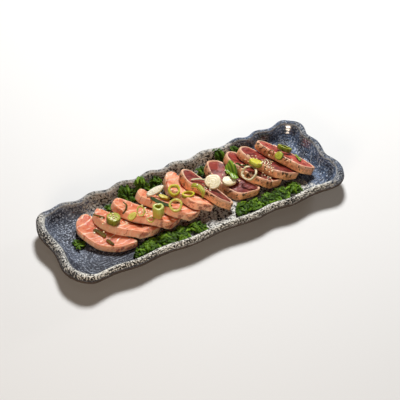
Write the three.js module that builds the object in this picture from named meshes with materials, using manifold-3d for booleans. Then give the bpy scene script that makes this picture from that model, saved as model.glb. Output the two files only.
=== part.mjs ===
// A long stoneware plate with a wavy rim, laid with a shingled row of salmon and seared tuna slices
// on curly green leaves, and topped with scallion rings, white onion and sesame seeds.
// Millimetres, +Z up, +X along the plate. The origin is under the centre of the plate, on its foot.
import * as THREE from 'three';
import { mergeVertices } from 'three/addons/utils/BufferGeometryUtils.js';
import Module from 'manifold-3d';

const wasm = await Module();
wasm.setup();

// ---------------------------------------------------------------- driving dimensions, plate
const PLATE_LENGTH = 343;
const PLATE_WIDTH = 122;
const CORNER_LIFT = 3.5;
const CORNER_REACH = 26;
const CORNER_RADIUS = 21;
const CORNER_RADIUS_LOSS = 0.45;
const SMALLEST_RADIUS = 9;
const LONG_STEPS = 38;
const SHORT_STEPS = 12;
const CORNER_STEPS = 5;

// Crests of the wavy rim along each side, and how far the rim swings out and up at a crest.
const FAR_CRESTS = [-167, -131, -95, -60, -24, 5, 45, 89, 115, 150, 182];
const NEAR_CRESTS = [-190, -149, -97, -33, 45, 91, 150, 190];
const LEFT_CRESTS = [-72, -29, 28, 72];
const RIGHT_CRESTS = [-70, -32, 10, 46, 82];
const FAR_WAVE = { out: 1.5, up: 0.7 };
const NEAR_WAVE = { out: 1.5, up: 0.3 };
const END_WAVE = { out: 1.7, up: 0.5 };

// The plate's section, from the recess under the foot, round the lip and back down to the floor.
// end, side: inset from the widest outline; z: height; rise: share of the rim's rise and wave.
const PLATE_SECTION = [
  { end: 37, side: 31, z: 2.0, rise: 0 },
  { end: 36, side: 30, z: 0, rise: 0 },
  { end: 29, side: 23, z: 0, rise: 0 },
  { end: 27, side: 21, z: 3.5, rise: 0 },
  { end: 14, side: 11, z: 9.5, rise: 0.4 },
  { end: 2.6, side: 1.6, z: 15.2, rise: 1 },
  { end: 0, side: 0, z: 17.6, rise: 1 },
  { end: 2.2, side: 0.8, z: 22.4, rise: 1 },
  { end: 4.2, side: 2.0, z: 24.5, rise: 1 },
  { end: 6.4, side: 3.8, z: 25.0, rise: 1 },
  { end: 8.8, side: 6.0, z: 23.7, rise: 1 },
  { end: 11.2, side: 8.4, z: 19.4, rise: 0.9 },
  { end: 14.4, side: 11.0, z: 13.8, rise: 0.6 },
  { end: 19, side: 14.6, z: 9.8, rise: 0.25 },
  { end: 25, side: 19, z: 8.2, rise: 0 },
];
const FLOOR_Z = 8;

// ---------------------------------------------------------------- driving dimensions, food
const GAP = 0.4;
const SLICE_GAP = 0.6;
const CELL = 1;
const LEAST_AREA = 1e-9;
const WELD_REACH = 1e-3;
const BEND_RADIUS = 30;
const SAG_SHARE = 0.3;
const CROWN_REACH = 4.5;
const CROWN_SAMPLES = 6;
const SLICE_STEPS = 12;

const SALMON = { colour: 0xe8906c, roughness: 0.38 };
const TUNA = { colour: 0xa8444a, roughness: 0.42 };

// square: how square the far and the near end are; skew: how far their right corners run on.
const SALMON_ENDS = { square: [2.7, 4.4], skew: [0, 0.25] };
const TUNA_ENDS = { square: [3.6, 4.8], skew: [0.2, 0.3] };

/**
 * One slice, from its far end to its near end. bow: how far its middle swings to the left; width: at
 * the far and the near end; thick: how thick it is cut.
 */
const slice = (name, fish, far, near, bow, width, thick) => (
  { name, fish, far, near, bow, width, thick, ...(fish === SALMON ? SALMON_ENDS : TUNA_ENDS) }
);
const SLICES = [
  { ...slice('salmon_slice_1', SALMON, [-119, 38], [-91, -26.5], 9, [31, 26], 8.5), slope: 0, skew: [0, 0.5] },
  slice('salmon_slice_2', SALMON, [-106.5, 32], [-58.5, -22], 8, [26, 24], 8.5),
  slice('salmon_slice_3', SALMON, [-79.5, 40], [-35.5, -23], 7, [29, 24], 8.5),
  slice('salmon_slice_4', SALMON, [-50, 40], [-13, -24.5], 6, [20, 25], 8.5),
  slice('salmon_slice_5', SALMON, [-8.5, 46], [1, -23], 3, [24, 27], 8.5),
  slice('tuna_slice_1', TUNA, [9, 38], [24, -27.5], 2, [24, 22], 9),
  slice('tuna_slice_2', TUNA, [44.5, 43], [59.5, -22.5], 3, [25, 28], 9),
  slice('tuna_slice_3', TUNA, [68.5, 43], [89.5, -21], 4, [24, 28], 9),
  slice('tuna_slice_4', TUNA, [83, 40], [113, -22], 3, [24, 25], 9),
  slice('tuna_slice_5', TUNA, [108, 41], [133, -24], 1, [25, 22], 9),
];
const SLICE_SLOPE = 0.45;
const SLICE_RINGS = [
  { across: 0, up: 0 },
  { across: 0.5, up: 0 },
  { across: 0.93, up: 0 },
  { across: 1, up: 0.2 },
  { across: 1, up: 0.8 },
  { across: 0.94, up: 1 },
  { across: 0.55, up: 1 },
  { across: 0, up: 1 },
];
const SLICE_END_PULL = 0.36;
const DRAPE_MARGIN = 1.1;

// ---------------------------------------------------------------- driving dimensions, garnish
const GLAZE = { colour: 0x5a606c, roughness: 0.35 };
const LEAF = { colour: 0x3f6b22, roughness: 0.5 };
const SCALLION_GREEN = { colour: 0x7f9a2c, roughness: 0.4 };
const SCALLION_DARK = { colour: 0x3c5a24, roughness: 0.45 };
const SCALLION_PALE = { colour: 0xc3c272, roughness: 0.4 };
const ONION_WHITE = { colour: 0xe2d9b4, roughness: 0.4 };

const LEAF_THICK = 1.1;
const SHEET_STEPS = 7;
const FRILL_TURNS = 15;
const LOBE_SWEEP = 0.2;
const LIFT_PASSES = 3;
// Shares of a triangle's three corners at points spread across it.
const SHARES = [
  [1, 0, 0],
  [0, 1, 0],
  [0, 0, 1],
  [0.5, 0.5, 0],
  [0, 0.5, 0.5],
  [0.5, 0, 0.5],
  [0.34, 0.33, 0.33],
  [0.6, 0.2, 0.2],
  [0.2, 0.6, 0.2],
  [0.2, 0.2, 0.6],
];
const MOUND_STEPS = 12;
const MOUND_RINGS = [
  { share: 0.9, up: 0 },
  { share: 1, up: 0.35 },
  { share: 0.75, up: 0.8 },
  { share: 0.4, up: 1 },
];
const ROUND_STEPS = 12;
const ROUND_WOBBLE = 0.03;
const STEEPEST_REST = 0.75;
const GOLDEN_ANGLE = Math.PI * (3 - Math.sqrt(5));
const SEED_HALF_SIZE = [1.5, 0.95, 0.6];
const SEED_SIT = 0.25;
const SEED_CLEAR = 2.2;

// lobes: depth of the side lobes; frill: height of the waves along the edges; rise: height over what
// lies below, at the root, the middle and the tip.
const LOBES = 0.3;
const FRILL = 2.2;
const leaf = (root, tip, width, rise, phase) => ({
  root,
  tip,
  width,
  rise,
  phase,
  lobes: LOBES,
  frill: FRILL,
  thick: LEAF_THICK,
});
const MAKE = { DISC: 'disc', RING: 'ring', SHEET: 'sheet', BED: 'bed' };
const loose = (name, one) => ({ name, make: MAKE.SHEET, ...one });
const GREENS = [
  {
    name: 'leaves_near_left',
    make: MAKE.BED,
    mound: { centre: [-42, -30], reach: [33, 6], height: 3 },
    leaves: [
      leaf([-66, -30], [-92, -39.5], 12, [0.4, 3, 1], 0.3),
      leaf([-61, -24], [-73, -43], 16, [0.8, 7, 3], 1.9),
      leaf([-45, -23], [-55, -45], 17, [0.8, 8, 3], 3.1),
      leaf([-31, -23], [-34, -46], 17, [0.8, 9, 3], 4.6),
      leaf([-19, -26], [-8, -43], 16, [0.8, 6, 1], 2.4),
    ],
  },
  {
    name: 'leaves_near_right',
    make: MAKE.BED,
    mound: { centre: [76, -31], reach: [33, 6], height: 3 },
    leaves: [
      leaf([52, -27], [36, -37], 14, [0.6, 4, 1], 0.8),
      leaf([63, -26], [56, -44], 16, [0.8, 6, 3], 2.2),
      leaf([79, -25], [74, -46], 17, [0.8, 8, 3], 3.7),
      leaf([94, -24], [92, -45], 17, [0.8, 9, 3], 5.0),
      leaf([105, -25], [114, -38], 15, [0.8, 6, 1], 2.9),
    ],
  },
  {
    name: 'leaves_far_left',
    make: MAKE.BED,
    mound: { centre: [-42, 42], reach: [22, 4.5], height: 2.4 },
    leaves: [
      leaf([-48, 41], [-67, 48], 13, [0.6, 4, 2], 0.5),
      leaf([-40, 40], [-38, 51], 17, [0.8, 5, 3], 2.5),
      leaf([-30, 41], [-17, 47], 12, [0.8, 4, 1], 1.2),
    ],
  },
  loose('leaf_left', leaf([-132, 0], [-139, 13], 8, [0.2, 2, 0.5], 2.6)),
  loose('leaf_far_left', leaf([-79, 38], [-86, 43], 5, [0.4, 2, 1], 0.9)),
  loose('leaf_far_middle', leaf([31, 37], [39, 46], 8, [0.4, 2, 0.5], 0.4)),
  loose('leaf_far_right_1', leaf([66, 41], [57, 51], 9, [0.4, 2, 0.5], 0.2)),
  loose('leaf_far_right_2', leaf([89, 45], [76, 48.5], 6, [0.4, 2, 0.5], 1.7)),
];

// Toppings are laid on the fish in this order. axis: the way a stiff piece stands, where it doesn't
// follow the slope under it; squash: its width across as a share of its width along; turn: its spin.
const disc = (name, finish, at, radius, height, more = {}) => (
  { name, make: MAKE.DISC, finish, at, radius, height, ...more }
);
const ring = (name, finish, at, radius, wall, height, more = {}) => (
  { name, make: MAKE.RING, finish, at, radius, wall, height, ...more }
);
const strip = (name, finish, root, tip, width, thick, more = {}) => (
  { name, make: MAKE.SHEET, finish, root, tip, width, thick, ...more }
);
const TOPPINGS = [
  disc('onion_wedge', ONION_WHITE, [-36, 21], 11, 3.5, { squash: 0.36, turn: 0.1, axis: [-0.1, -0.35, 1] }),
  disc('onion_slice', SCALLION_PALE, [-31.5, 9.5], 7, 3, { squash: 0.8 }),
  strip('chive_leaf_1', SCALLION_DARK, [-116, 11], [-109.5, -5], 4.5, 1, { bend: 1 }),
  strip('chive_leaf_2', SCALLION_DARK, [-110.5, -9], [-107.5, -20], 3.5, 1),
  strip('chive_leaf_3', SCALLION_GREEN, [-110, 24], [-101, 13], 2, 1),
  strip('chive_leaf_4', SCALLION_DARK, [-71, 29], [-82, 8], 2, 1, { bend: 4 }),
  disc('scallion_round_1', SCALLION_GREEN, [-95.5, 4.5], 7.6, 7.5),
  disc('scallion_round_2', SCALLION_PALE, [-74.5, -0.5], 5.5, 2.6, { squash: 0.7 }),
  ring('scallion_ring_1', SCALLION_PALE, [-65.5, -3], 6, 1.9, 3.5,
    { squash: 0.75, axis: [-0.35, -0.5, 0.7], turn: 1.2 }),
  ring('scallion_ring_2', SCALLION_PALE, [-61.5, -17], 4.2, 1.4, 2),
  strip('leaf_strip_1', SCALLION_DARK, [-46, 12], [-33, -12], 5, 1.2, { bend: -2 }),
  ring('scallion_stalk', SCALLION_GREEN, [-52, -17], 6.3, 3.2, 13, { axis: [0.05, 0.1, 1] }),
  ring('scallion_chunk', SCALLION_GREEN, [-19, 9], 6.8, 2.4, 6, { axis: [-0.1, -0.4, 0.9] }),
  ring('scallion_ring_3', SCALLION_PALE, [-29.5, -14.5], 7.4, 2.4, 5, { axis: [-0.25, -0.4, 0.8] }),
  ring('scallion_ring_4', SCALLION_PALE, [-8.5, -3], 8.4, 2.8, 4, { squash: 0.62, turn: 0.2 }),
  strip('leaf_strip_2', SCALLION_GREEN, [3, 8], [6, -13], 4.5, 1.2, { bend: 3 }),
  strip('onion_strip', ONION_WHITE, [8, 19], [25, 16], 3, 1.4),
  disc('onion_round_1', ONION_WHITE, [25.5, 1], 9, 5, { axis: [-0.2, -0.3, 0.9] }),
  disc('onion_round_2', ONION_WHITE, [47.5, 3.5], 8, 4, { squash: 0.72, turn: -0.5, axis: [-0.05, -0.2, 0.9] }),
  strip('leaf_strip_3', SCALLION_GREEN, [59, 26], [54, -1], 10, 1.2, { rise: [1, 3, 0] }),
  strip('leaf_strip_4', SCALLION_DARK, [62, 14], [76, 10], 2.5, 1),
  ring('onion_ring', ONION_WHITE, [69, -5], 9.3, 1.9, 2.6),
  disc('scallion_round_3', SCALLION_GREEN, [79.5, 1], 7.8, 5),
  ring('scallion_ring_5', SCALLION_PALE, [107, 11], 4, 1.2, 1.8),
  ring('scallion_ring_6', SCALLION_GREEN, [125, 13], 8.6, 3.2, 5),
  disc('scallion_round_4', SCALLION_GREEN, [112, 1], 5, 3.5),
  strip('leaf_strip_5', SCALLION_GREEN, [133, 0], [131, -13], 3, 1),
];

// Sesame seeds scattered round a point.
const SEED_CLUSTERS = [
  { at: [-109, 8], count: 3, reach: 8 },
  { at: [-96, 5], count: 4, reach: 5 },
  { at: [-84, -1], count: 2, reach: 3 },
  { at: [-59, 0], count: 5, reach: 5 },
  { at: [-56, -10], count: 3, reach: 4 },
  { at: [13, 3], count: 4, reach: 7 },
  { at: [16, -6], count: 3, reach: 3 },
  { at: [50, 17], count: 3, reach: 3 },
  { at: [62, 0], count: 3, reach: 4 },
  { at: [64, 15], count: 4, reach: 5 },
  { at: [85, 17], count: 6, reach: 7 },
  { at: [98, 5], count: 6, reach: 6 },
  { at: [92, -6], count: 6, reach: 6 },
  { at: [89, -17], count: 4, reach: 4 },
  { at: [119, -10], count: 2, reach: 4 },
];

// ---------------------------------------------------------------- small helpers
const lerp = (a, b, t) => a + (b - a) * t;
const clamp = (v, low, high) => Math.min(Math.max(v, low), high);

const ENDS = { SEAM: 'seam', CAPPED: 'capped', LOOPED: 'looped' };

/**
 * A closed mesh through rings of equal length. With SEAM the first and last ring are already folded
 * flat onto a line, with CAPPED they are closed at their centre, and with LOOPED the last ring joins
 * the first.
 */
function loft(rings, ends) {
  const positions = [];
  const triangle = (a, b, c) => positions.push(...a, ...b, ...c);
  const count = rings[0].length;
  const bands = ends === ENDS.LOOPED ? rings.length : rings.length - 1;
  for (let r = 0; r < bands; r += 1) {
    const low = rings[r];
    const high = rings[(r + 1) % rings.length];
    for (let i = 0; i < count; i += 1) {
      const j = (i + 1) % count;
      triangle(low[i], low[j], high[j]);
      triangle(low[i], high[j], high[i]);
    }
  }
  if (ends === ENDS.CAPPED) {
    const first = centroid(rings[0]);
    const last = centroid(rings[rings.length - 1]);
    for (let i = 0; i < count; i += 1) {
      const j = (i + 1) % count;
      triangle(first, rings[0][j], rings[0][i]);
      triangle(last, rings[rings.length - 1][i], rings[rings.length - 1][j]);
    }
  }
  return weld(positions);
}

function centroid(ring) {
  const sum = [0, 0, 0];
  for (const p of ring) {
    for (let k = 0; k < 3; k += 1) {
      sum[k] += p[k] / ring.length;
    }
  }
  return sum;
}

/** Merges equal vertices of a triangle list and drops the triangles that this collapses. */
function weld(positions) {
  const soup = new THREE.BufferGeometry();
  soup.setAttribute('position', new THREE.Float32BufferAttribute(positions, 3));
  const merged = mergeVertices(soup, WELD_REACH);
  const index = merged.index.array;
  const kept = [];
  for (let i = 0; i < index.length; i += 3) {
    const [a, b, c] = [index[i], index[i + 1], index[i + 2]];
    if (a !== b && b !== c && c !== a) {
      kept.push(a, b, c);
    }
  }
  merged.setIndex(kept);
  return merged;
}

/** A welded position-only copy of any three.js geometry. */
function plain(geometry) {
  const flat = geometry.index ? geometry.toNonIndexed() : geometry;
  return weld(Array.from(flat.attributes.position.array));
}

/** The corners of each triangle of an indexed geometry. */
function trianglesOf(geometry) {
  const p = geometry.attributes.position;
  const corners = Array.from(geometry.index.array, (i) => [p.getX(i), p.getY(i), p.getZ(i)]);
  const found = [];
  for (let i = 0; i < corners.length; i += 3) {
    found.push(corners.slice(i, i + 3));
  }
  return found;
}

function toManifold(geometry) {
  return new wasm.Manifold(new wasm.Mesh({
    numProp: 3,
    vertProperties: new Float32Array(geometry.attributes.position.array),
    triVerts: new Uint32Array(geometry.index.array),
  }));
}

/** Joins solids that cross each other into one. */
function fuse(geometries) {
  let whole = toManifold(geometries[0]);
  for (const geometry of geometries.slice(1)) {
    whole = whole.add(toManifold(geometry));
  }
  const mesh = whole.getMesh();
  const joined = new THREE.BufferGeometry();
  joined.setAttribute('position', new THREE.Float32BufferAttribute(mesh.vertProperties, 3));
  joined.setIndex(Array.from(mesh.triVerts));
  return joined;
}

// ---------------------------------------------------------------- height map of the laid table
/** Heights of everything already on the plate, in square cells, so that the next piece can rest on it. */
class Terrain {
  constructor() {
    this.columns = Math.ceil(PLATE_LENGTH / CELL) + 1;
    this.rows = Math.ceil(PLATE_WIDTH / CELL) + 1;
    this.heights = new Float64Array(this.columns * this.rows).fill(-1);
    this.owners = new Array(this.columns * this.rows).fill('');
  }

  column(x) {
    return clamp(Math.round((x + PLATE_LENGTH / 2) / CELL), 0, this.columns - 1);
  }

  row(y) {
    return clamp(Math.round((y + PLATE_WIDTH / 2) / CELL), 0, this.rows - 1);
  }

  place(column, row) {
    return [column * CELL - PLATE_LENGTH / 2, row * CELL - PLATE_WIDTH / 2];
  }

  /** Raises the cells under each triangle of a named mesh to that triangle's height. */
  add(name, geometry) {
    for (const three of trianglesOf(geometry)) {
      this.addTriangle(name, three);
    }
  }

  addTriangle(name, [a, b, c]) {
    const area = (b[0] - a[0]) * (c[1] - a[1]) - (b[1] - a[1]) * (c[0] - a[0]);
    if (Math.abs(area) < LEAST_AREA) {
      return;
    }
    const firstColumn = this.column(Math.min(a[0], b[0], c[0]));
    const lastColumn = this.column(Math.max(a[0], b[0], c[0]));
    const firstRow = this.row(Math.min(a[1], b[1], c[1]));
    const lastRow = this.row(Math.max(a[1], b[1], c[1]));
    for (let column = firstColumn; column <= lastColumn; column += 1) {
      for (let row = firstRow; row <= lastRow; row += 1) {
        const [x, y] = this.place(column, row);
        const u = ((x - a[0]) * (c[1] - a[1]) - (y - a[1]) * (c[0] - a[0])) / area;
        const v = ((b[0] - a[0]) * (y - a[1]) - (b[1] - a[1]) * (x - a[0])) / area;
        if (u >= 0 && v >= 0 && u + v <= 1) {
          const z = a[2] + u * (b[2] - a[2]) + v * (c[2] - a[2]);
          const cell = row * this.columns + column;
          if (z > this.heights[cell]) {
            this.heights[cell] = z;
            this.owners[cell] = name;
          }
        }
      }
    }
  }

  /** The name of the topmost piece at a point. */
  owner(x, y) {
    return this.owners[this.row(y) * this.columns + this.column(x)];
  }

  /** The height of the cell at a point. */
  at(x, y) {
    return this.heights[this.row(y) * this.columns + this.column(x)];
  }

  /** The slope along x and y of the plane that best fits the heights within a reach of a point. */
  slope([x, y], reach) {
    const cells = [];
    for (let dx = -reach; dx <= reach; dx += CELL) {
      for (let dy = -reach; dy <= reach; dy += CELL) {
        cells.push([dx, dy, this.at(x + dx, y + dy)]);
      }
    }
    const sums = { xx: 0, xy: 0, yy: 0, xz: 0, yz: 0 };
    for (const [dx, dy, z] of cells) {
      sums.xx += dx * dx;
      sums.xy += dx * dy;
      sums.yy += dy * dy;
      sums.xz += dx * z;
      sums.yz += dy * z;
    }
    const determinant = sums.xx * sums.yy - sums.xy ** 2;
    const alongX = (sums.xz * sums.yy - sums.yz * sums.xy) / determinant;
    const alongY = (sums.yz * sums.xx - sums.xz * sums.xy) / determinant;
    return [alongX, alongY];
  }

  /** The greatest height in the cells round a point. */
  height(x, y) {
    const column = this.column(x);
    const row = this.row(y);
    let top = -1;
    for (let c = Math.max(column - 1, 0); c <= Math.min(column + 1, this.columns - 1); c += 1) {
      for (let r = Math.max(row - 1, 0); r <= Math.min(row + 1, this.rows - 1); r += 1) {
        top = Math.max(top, this.heights[r * this.columns + c]);
      }
    }
    return top;
  }

  /** The cells inside a closed outline, as points with their height. */
  under(outline) {
    const xs = outline.map((p) => p[0]);
    const ys = outline.map((p) => p[1]);
    const found = [];
    for (let c = this.column(Math.min(...xs)); c <= this.column(Math.max(...xs)); c += 1) {
      for (let r = this.row(Math.min(...ys)); r <= this.row(Math.max(...ys)); r += 1) {
        const [x, y] = this.place(c, r);
        if (inside(x, y, outline)) {
          found.push([x, y, this.heights[r * this.columns + c]]);
        }
      }
    }
    return found;
  }
}

function inside(x, y, outline) {
  let odd = false;
  for (let i = 0, j = outline.length - 1; i < outline.length; j = i, i += 1) {
    const [xi, yi] = outline[i];
    const [xj, yj] = outline[j];
    if ((yi > y) !== (yj > y) && x < ((xj - xi) * (y - yi)) / (yj - yi) + xi) {
      odd = !odd;
    }
  }
  return odd;
}

/** The underside of a soft piece that falls away to the right and bends over what lies under it. */
function drape(terrain, outline, radius, slope) {
  const held = terrain.under(outline);
  return (x, y) => {
    let z = FLOOR_Z;
    for (const [px, py, pz] of held) {
      const dx = x - px;
      const dy = y - py;
      const fall = dx > 0 ? dx * slope : dx * slope * SAG_SHARE;
      z = Math.max(z, pz - fall - (dx * dx + dy * dy) / (2 * radius));
    }
    return z + SLICE_GAP;
  };
}

/** A height function averaged over a small circle, which takes the creases out of a soft top. */
function eased(height, reach) {
  return (x, y) => {
    let sum = height(x, y);
    for (let i = 0; i < CROWN_SAMPLES; i += 1) {
      const angle = (2 * Math.PI * i) / CROWN_SAMPLES;
      sum += height(x + reach * Math.cos(angle), y + reach * Math.sin(angle));
    }
    return sum / (CROWN_SAMPLES + 1);
  };
}

// ---------------------------------------------------------------- plate
/** 1 at each crest and -1 midway between two, along a side of the rim. */
function crestWave(along, crests) {
  for (let i = 0; i + 1 < crests.length; i += 1) {
    if (along <= crests[i + 1]) {
      return Math.cos((2 * Math.PI * (along - crests[i])) / (crests[i + 1] - crests[i]));
    }
  }
  return 1;
}

/** How the rim moves out and up at a point of the outline that faces (nx, ny). */
function rimWave(x, y, nx, ny) {
  const side = ny > 0 ? crestWave(x, FAR_CRESTS) : crestWave(x, NEAR_CRESTS);
  const size = ny > 0 ? FAR_WAVE : NEAR_WAVE;
  const end = crestWave(y, nx > 0 ? RIGHT_CRESTS : LEFT_CRESTS);
  const straight = ny ** 4;
  const short = nx ** 4;
  return {
    out: straight * side * size.out + short * end * END_WAVE.out,
    up: straight * side * size.up + short * end * END_WAVE.up,
  };
}

/** One closed ring of the plate, counter-clockwise seen from above. */
function plateRing({ end, side, z, rise }) {
  const halfLength = PLATE_LENGTH / 2 - END_WAVE.out - end;
  const halfWidth = PLATE_WIDTH / 2 - FAR_WAVE.out - side;
  const radius = Math.max(CORNER_RADIUS - CORNER_RADIUS_LOSS * side, SMALLEST_RADIUS);
  const ring = [];
  const corners = [[1, -1], [1, 1], [-1, 1], [-1, -1]];
  corners.forEach(([sx, sy], k) => {
    const cx = sx * (halfLength - radius);
    const cy = sy * (halfWidth - radius);
    const start = (k - 1) * (Math.PI / 2);
    for (let i = 0; i <= CORNER_STEPS; i += 1) {
      const angle = start + (i / CORNER_STEPS) * (Math.PI / 2);
      const nx = Math.cos(angle);
      const ny = Math.sin(angle);
      ring.push({ x: cx + radius * nx, y: cy + radius * ny, nx, ny });
    }
    const last = ring[ring.length - 1];
    const [tx, ty] = corners[(k + 1) % 4];
    const nextX = k % 2 ? tx * (halfLength - radius) : last.x;
    const nextY = k % 2 ? last.y : ty * (halfWidth - radius);
    const steps = k % 2 ? LONG_STEPS : SHORT_STEPS;
    for (let i = 1; i < steps; i += 1) {
      const x = lerp(last.x, nextX, i / steps);
      const y = lerp(last.y, nextY, i / steps);
      ring.push({ ...last, x, y });
    }
  });
  return ring.map(({ x, y, nx, ny }) => {
    const wave = rimWave(x, y, nx, ny);
    const toCorner = Math.hypot(PLATE_LENGTH / 2 - Math.abs(x), PLATE_WIDTH / 2 - Math.abs(y));
    const corner = CORNER_LIFT * Math.exp(-((toCorner / CORNER_REACH) ** 2));
    const out = wave.out * rise;
    return [x + nx * out, y + ny * out, z + (corner + wave.up) * rise];
  });
}

function plateGeometry() {
  return loft(PLATE_SECTION.map(plateRing), ENDS.CAPPED);
}

// ---------------------------------------------------------------- fish slices
/** The points of one slice's outline at a share of its half width, in plan. */
function sliceLoop({ far, near, bow, width, square, skew }, across) {
  const [fx, fy] = far;
  const length = Math.hypot(near[0] - fx, near[1] - fy);
  const ux = (near[0] - fx) / length;
  const uy = (near[1] - fy) / length;
  const pull = 1 - (1 - across) * SLICE_END_PULL;
  const point = (step, hand) => {
    const spread = (1 - Math.cos((Math.PI * step) / SLICE_STEPS)) / 2;
    const s = 0.5 + (spread - 0.5) * pull;
    const power = spread < 0.5 ? square[0] : square[1];
    const round = (1 - Math.abs(2 * spread - 1) ** power) ** (1 / power);
    const half = 0.5 * lerp(width[0], width[1], spread) * round * across * hand;
    const sideways = half - bow * 4 * s * (1 - s);
    const forward = length * s + half * lerp(skew[0], skew[1], spread);
    return [fx + ux * forward - uy * sideways, fy + uy * forward + ux * sideways];
  };
  const loop = [];
  for (let step = 0; step < SLICE_STEPS; step += 1) {
    loop.push(point(step, -1));
  }
  for (let step = SLICE_STEPS; step > 0; step -= 1) {
    loop.push(point(step, 1));
  }
  return loop;
}

function grown(loop, share) {
  const cx = loop.reduce((sum, p) => sum + p[0], 0) / loop.length;
  const cy = loop.reduce((sum, p) => sum + p[1], 0) / loop.length;
  return loop.map(([x, y]) => [cx + (x - cx) * share, cy + (y - cy) * share]);
}

/** A soft slice draped over what is already laid. A slope leans its cut sides over to the right. */
function sliceGeometry(fish, terrain) {
  const { thick, slope = SLICE_SLOPE } = fish;
  const base = drape(terrain, grown(sliceLoop(fish, 1), DRAPE_MARGIN), BEND_RADIUS, slope);
  const crown = eased(base, CROWN_REACH);
  const lean = slope * thick;
  const rings = SLICE_RINGS.map(({ across, up }) => sliceLoop(fish, across).map(([x, y]) => (
    [x + lean * up, y, lerp(base(x, y), crown(x, y), up) + thick * up]
  )));
  return loft(rings, ENDS.SEAM);
}

// ---------------------------------------------------------------- leaves and strips
/** Three heights joined by a smooth curve, at a share s of the way from the first to the last. */
const arc = ([first, middle, last], s) => (1 - s) ** 2 * first + 2 * s * (1 - s) * middle + s ** 2 * last;

/**
 * A thin wavy sheet along a line from root to tip, with both faces split into triangles alike.
 * Its underside keeps clear of what is already laid.
 */
function sheetGeometry(sheet, terrain) {
  const { root, tip, width, thick, bend = 0, lobes = 0, frill = 0, phase = 0, rise = [0, 0, 0] } = sheet;
  const length = Math.hypot(tip[0] - root[0], tip[1] - root[1]);
  const ux = (tip[0] - root[0]) / length;
  const uy = (tip[1] - root[1]) / length;
  const sections = [];
  for (let i = 0; i <= SHEET_STEPS; i += 1) {
    const s = i / SHEET_STEPS;
    const leafSwell = Math.sin(Math.PI * lerp(0.14, 0.97, s)) ** 0.6;
    const stripSwell = 1 - 0.5 * (2 * s - 1) ** 6;
    const swell = (lobes > 0 ? leafSwell : stripSwell) * (1 - lobes * (i % 2));
    const section = [-1, 0, 1].map((across) => {
      const sideways = (across * width * swell) / 2 + bend * 4 * s * (1 - s);
      const forward = length * s + lobes * width * LOBE_SWEEP * Math.abs(across);
      const x = root[0] + ux * forward - uy * sideways;
      const y = root[1] + uy * forward + ux * sideways;
      const wave = frill * across ** 2 * Math.sin(FRILL_TURNS * s + 2 * across + phase);
      const low = Math.max(terrain.height(x, y), FLOOR_Z) + GAP;
      return [x, y, low + Math.max(arc(rise, s) + wave, 0)];
    });
    sections.push(section);
  }
  liftClear(sections, terrain);
  return flatEnded(sections.map((section) => [
    ...section,
    ...section.map(([x, y, z]) => [x, y, z + thick]).reverse(),
  ]));
}

/** Raises the corners of each patch of a grid of points until the patch clears what lies below. */
function liftClear(grid, terrain) {
  for (let pass = 0; pass < LIFT_PASSES; pass += 1) {
    for (let r = 0; r + 1 < grid.length; r += 1) {
      for (let i = 0; i + 1 < grid[r].length; i += 1) {
        const corners = [grid[r][i], grid[r][i + 1], grid[r + 1][i + 1], grid[r + 1][i]];
        const short = Math.max(shortfall(corners.slice(0, 3), terrain), shortfall(
          [corners[0], corners[2], corners[3]],
          terrain,
        ));
        for (const corner of corners) {
          corner[2] += Math.max(short, 0);
        }
      }
    }
  }
}

/** How far a triangle lies below the least clear height, over points spread across it. */
function shortfall([a, b, c], terrain) {
  let most = -Infinity;
  for (const [u, v, w] of SHARES) {
    const [x, y, z] = [0, 1, 2].map((k) => u * a[k] + v * b[k] + w * c[k]);
    most = Math.max(most, terrain.height(x, y) + GAP - z);
  }
  return most;
}

/** A closed mesh through flat sections: each is a lower edge and then the upper edge back again. */
function flatEnded(sections) {
  const positions = [];
  const triangle = (a, b, c) => positions.push(...a, ...b, ...c);
  const count = sections[0].length;
  for (let r = 0; r + 1 < sections.length; r += 1) {
    for (let i = 0; i < count; i += 1) {
      const [a, b] = [sections[r][i], sections[r][(i + 1) % count]];
      const [d, c] = [sections[r + 1][i], sections[r + 1][(i + 1) % count]];
      const upper = i >= count / 2;
      triangle(a, b, upper ? d : c);
      triangle(upper ? b : a, c, d);
    }
  }
  const first = sections[0];
  const last = sections[sections.length - 1];
  for (let i = 0; i + 1 < count / 2; i += 1) {
    const over = count - 1 - i;
    triangle(last[i], last[i + 1], last[over - 1]);
    triangle(last[i], last[over - 1], last[over]);
    triangle(first[i], first[over - 1], first[i + 1]);
    triangle(first[i], first[over], first[over - 1]);
  }
  return weld(positions);
}

/** A low mound that the leaves of a bed grow together in. */
function moundGeometry({ centre, reach, height }, terrain) {
  const rings = MOUND_RINGS.map(({ share, up }) => {
    const points = [];
    for (let i = 0; i < MOUND_STEPS; i += 1) {
      const angle = (2 * Math.PI * i) / MOUND_STEPS;
      const x = centre[0] + reach[0] * share * Math.cos(angle);
      const y = centre[1] + reach[1] * share * Math.sin(angle);
      const low = Math.max(terrain.height(x, y), FLOOR_Z) + GAP;
      points.push([x, y, low + height * up]);
    }
    return points;
  });
  return loft(rings, ENDS.CAPPED);
}

function bedGeometry(bed, terrain) {
  const leaves = bed.leaves.map((one) => sheetGeometry(one, terrain));
  return fuse([moundGeometry(bed.mound, terrain), ...leaves]);
}

// ---------------------------------------------------------------- rounds and rings
/** Slightly uneven rings of points round a local z axis, from [radius, height] pairs. */
function roundRings(profile, squash) {
  return profile.map(([radius, z]) => {
    const points = [];
    for (let i = 0; i < ROUND_STEPS; i += 1) {
      const angle = (2 * Math.PI * i) / ROUND_STEPS;
      const r = radius * (1 + ROUND_WOBBLE * Math.sin(3 * angle + 1));
      points.push([r * Math.cos(angle), r * squash * Math.sin(angle), z]);
    }
    return points;
  });
}

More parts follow.
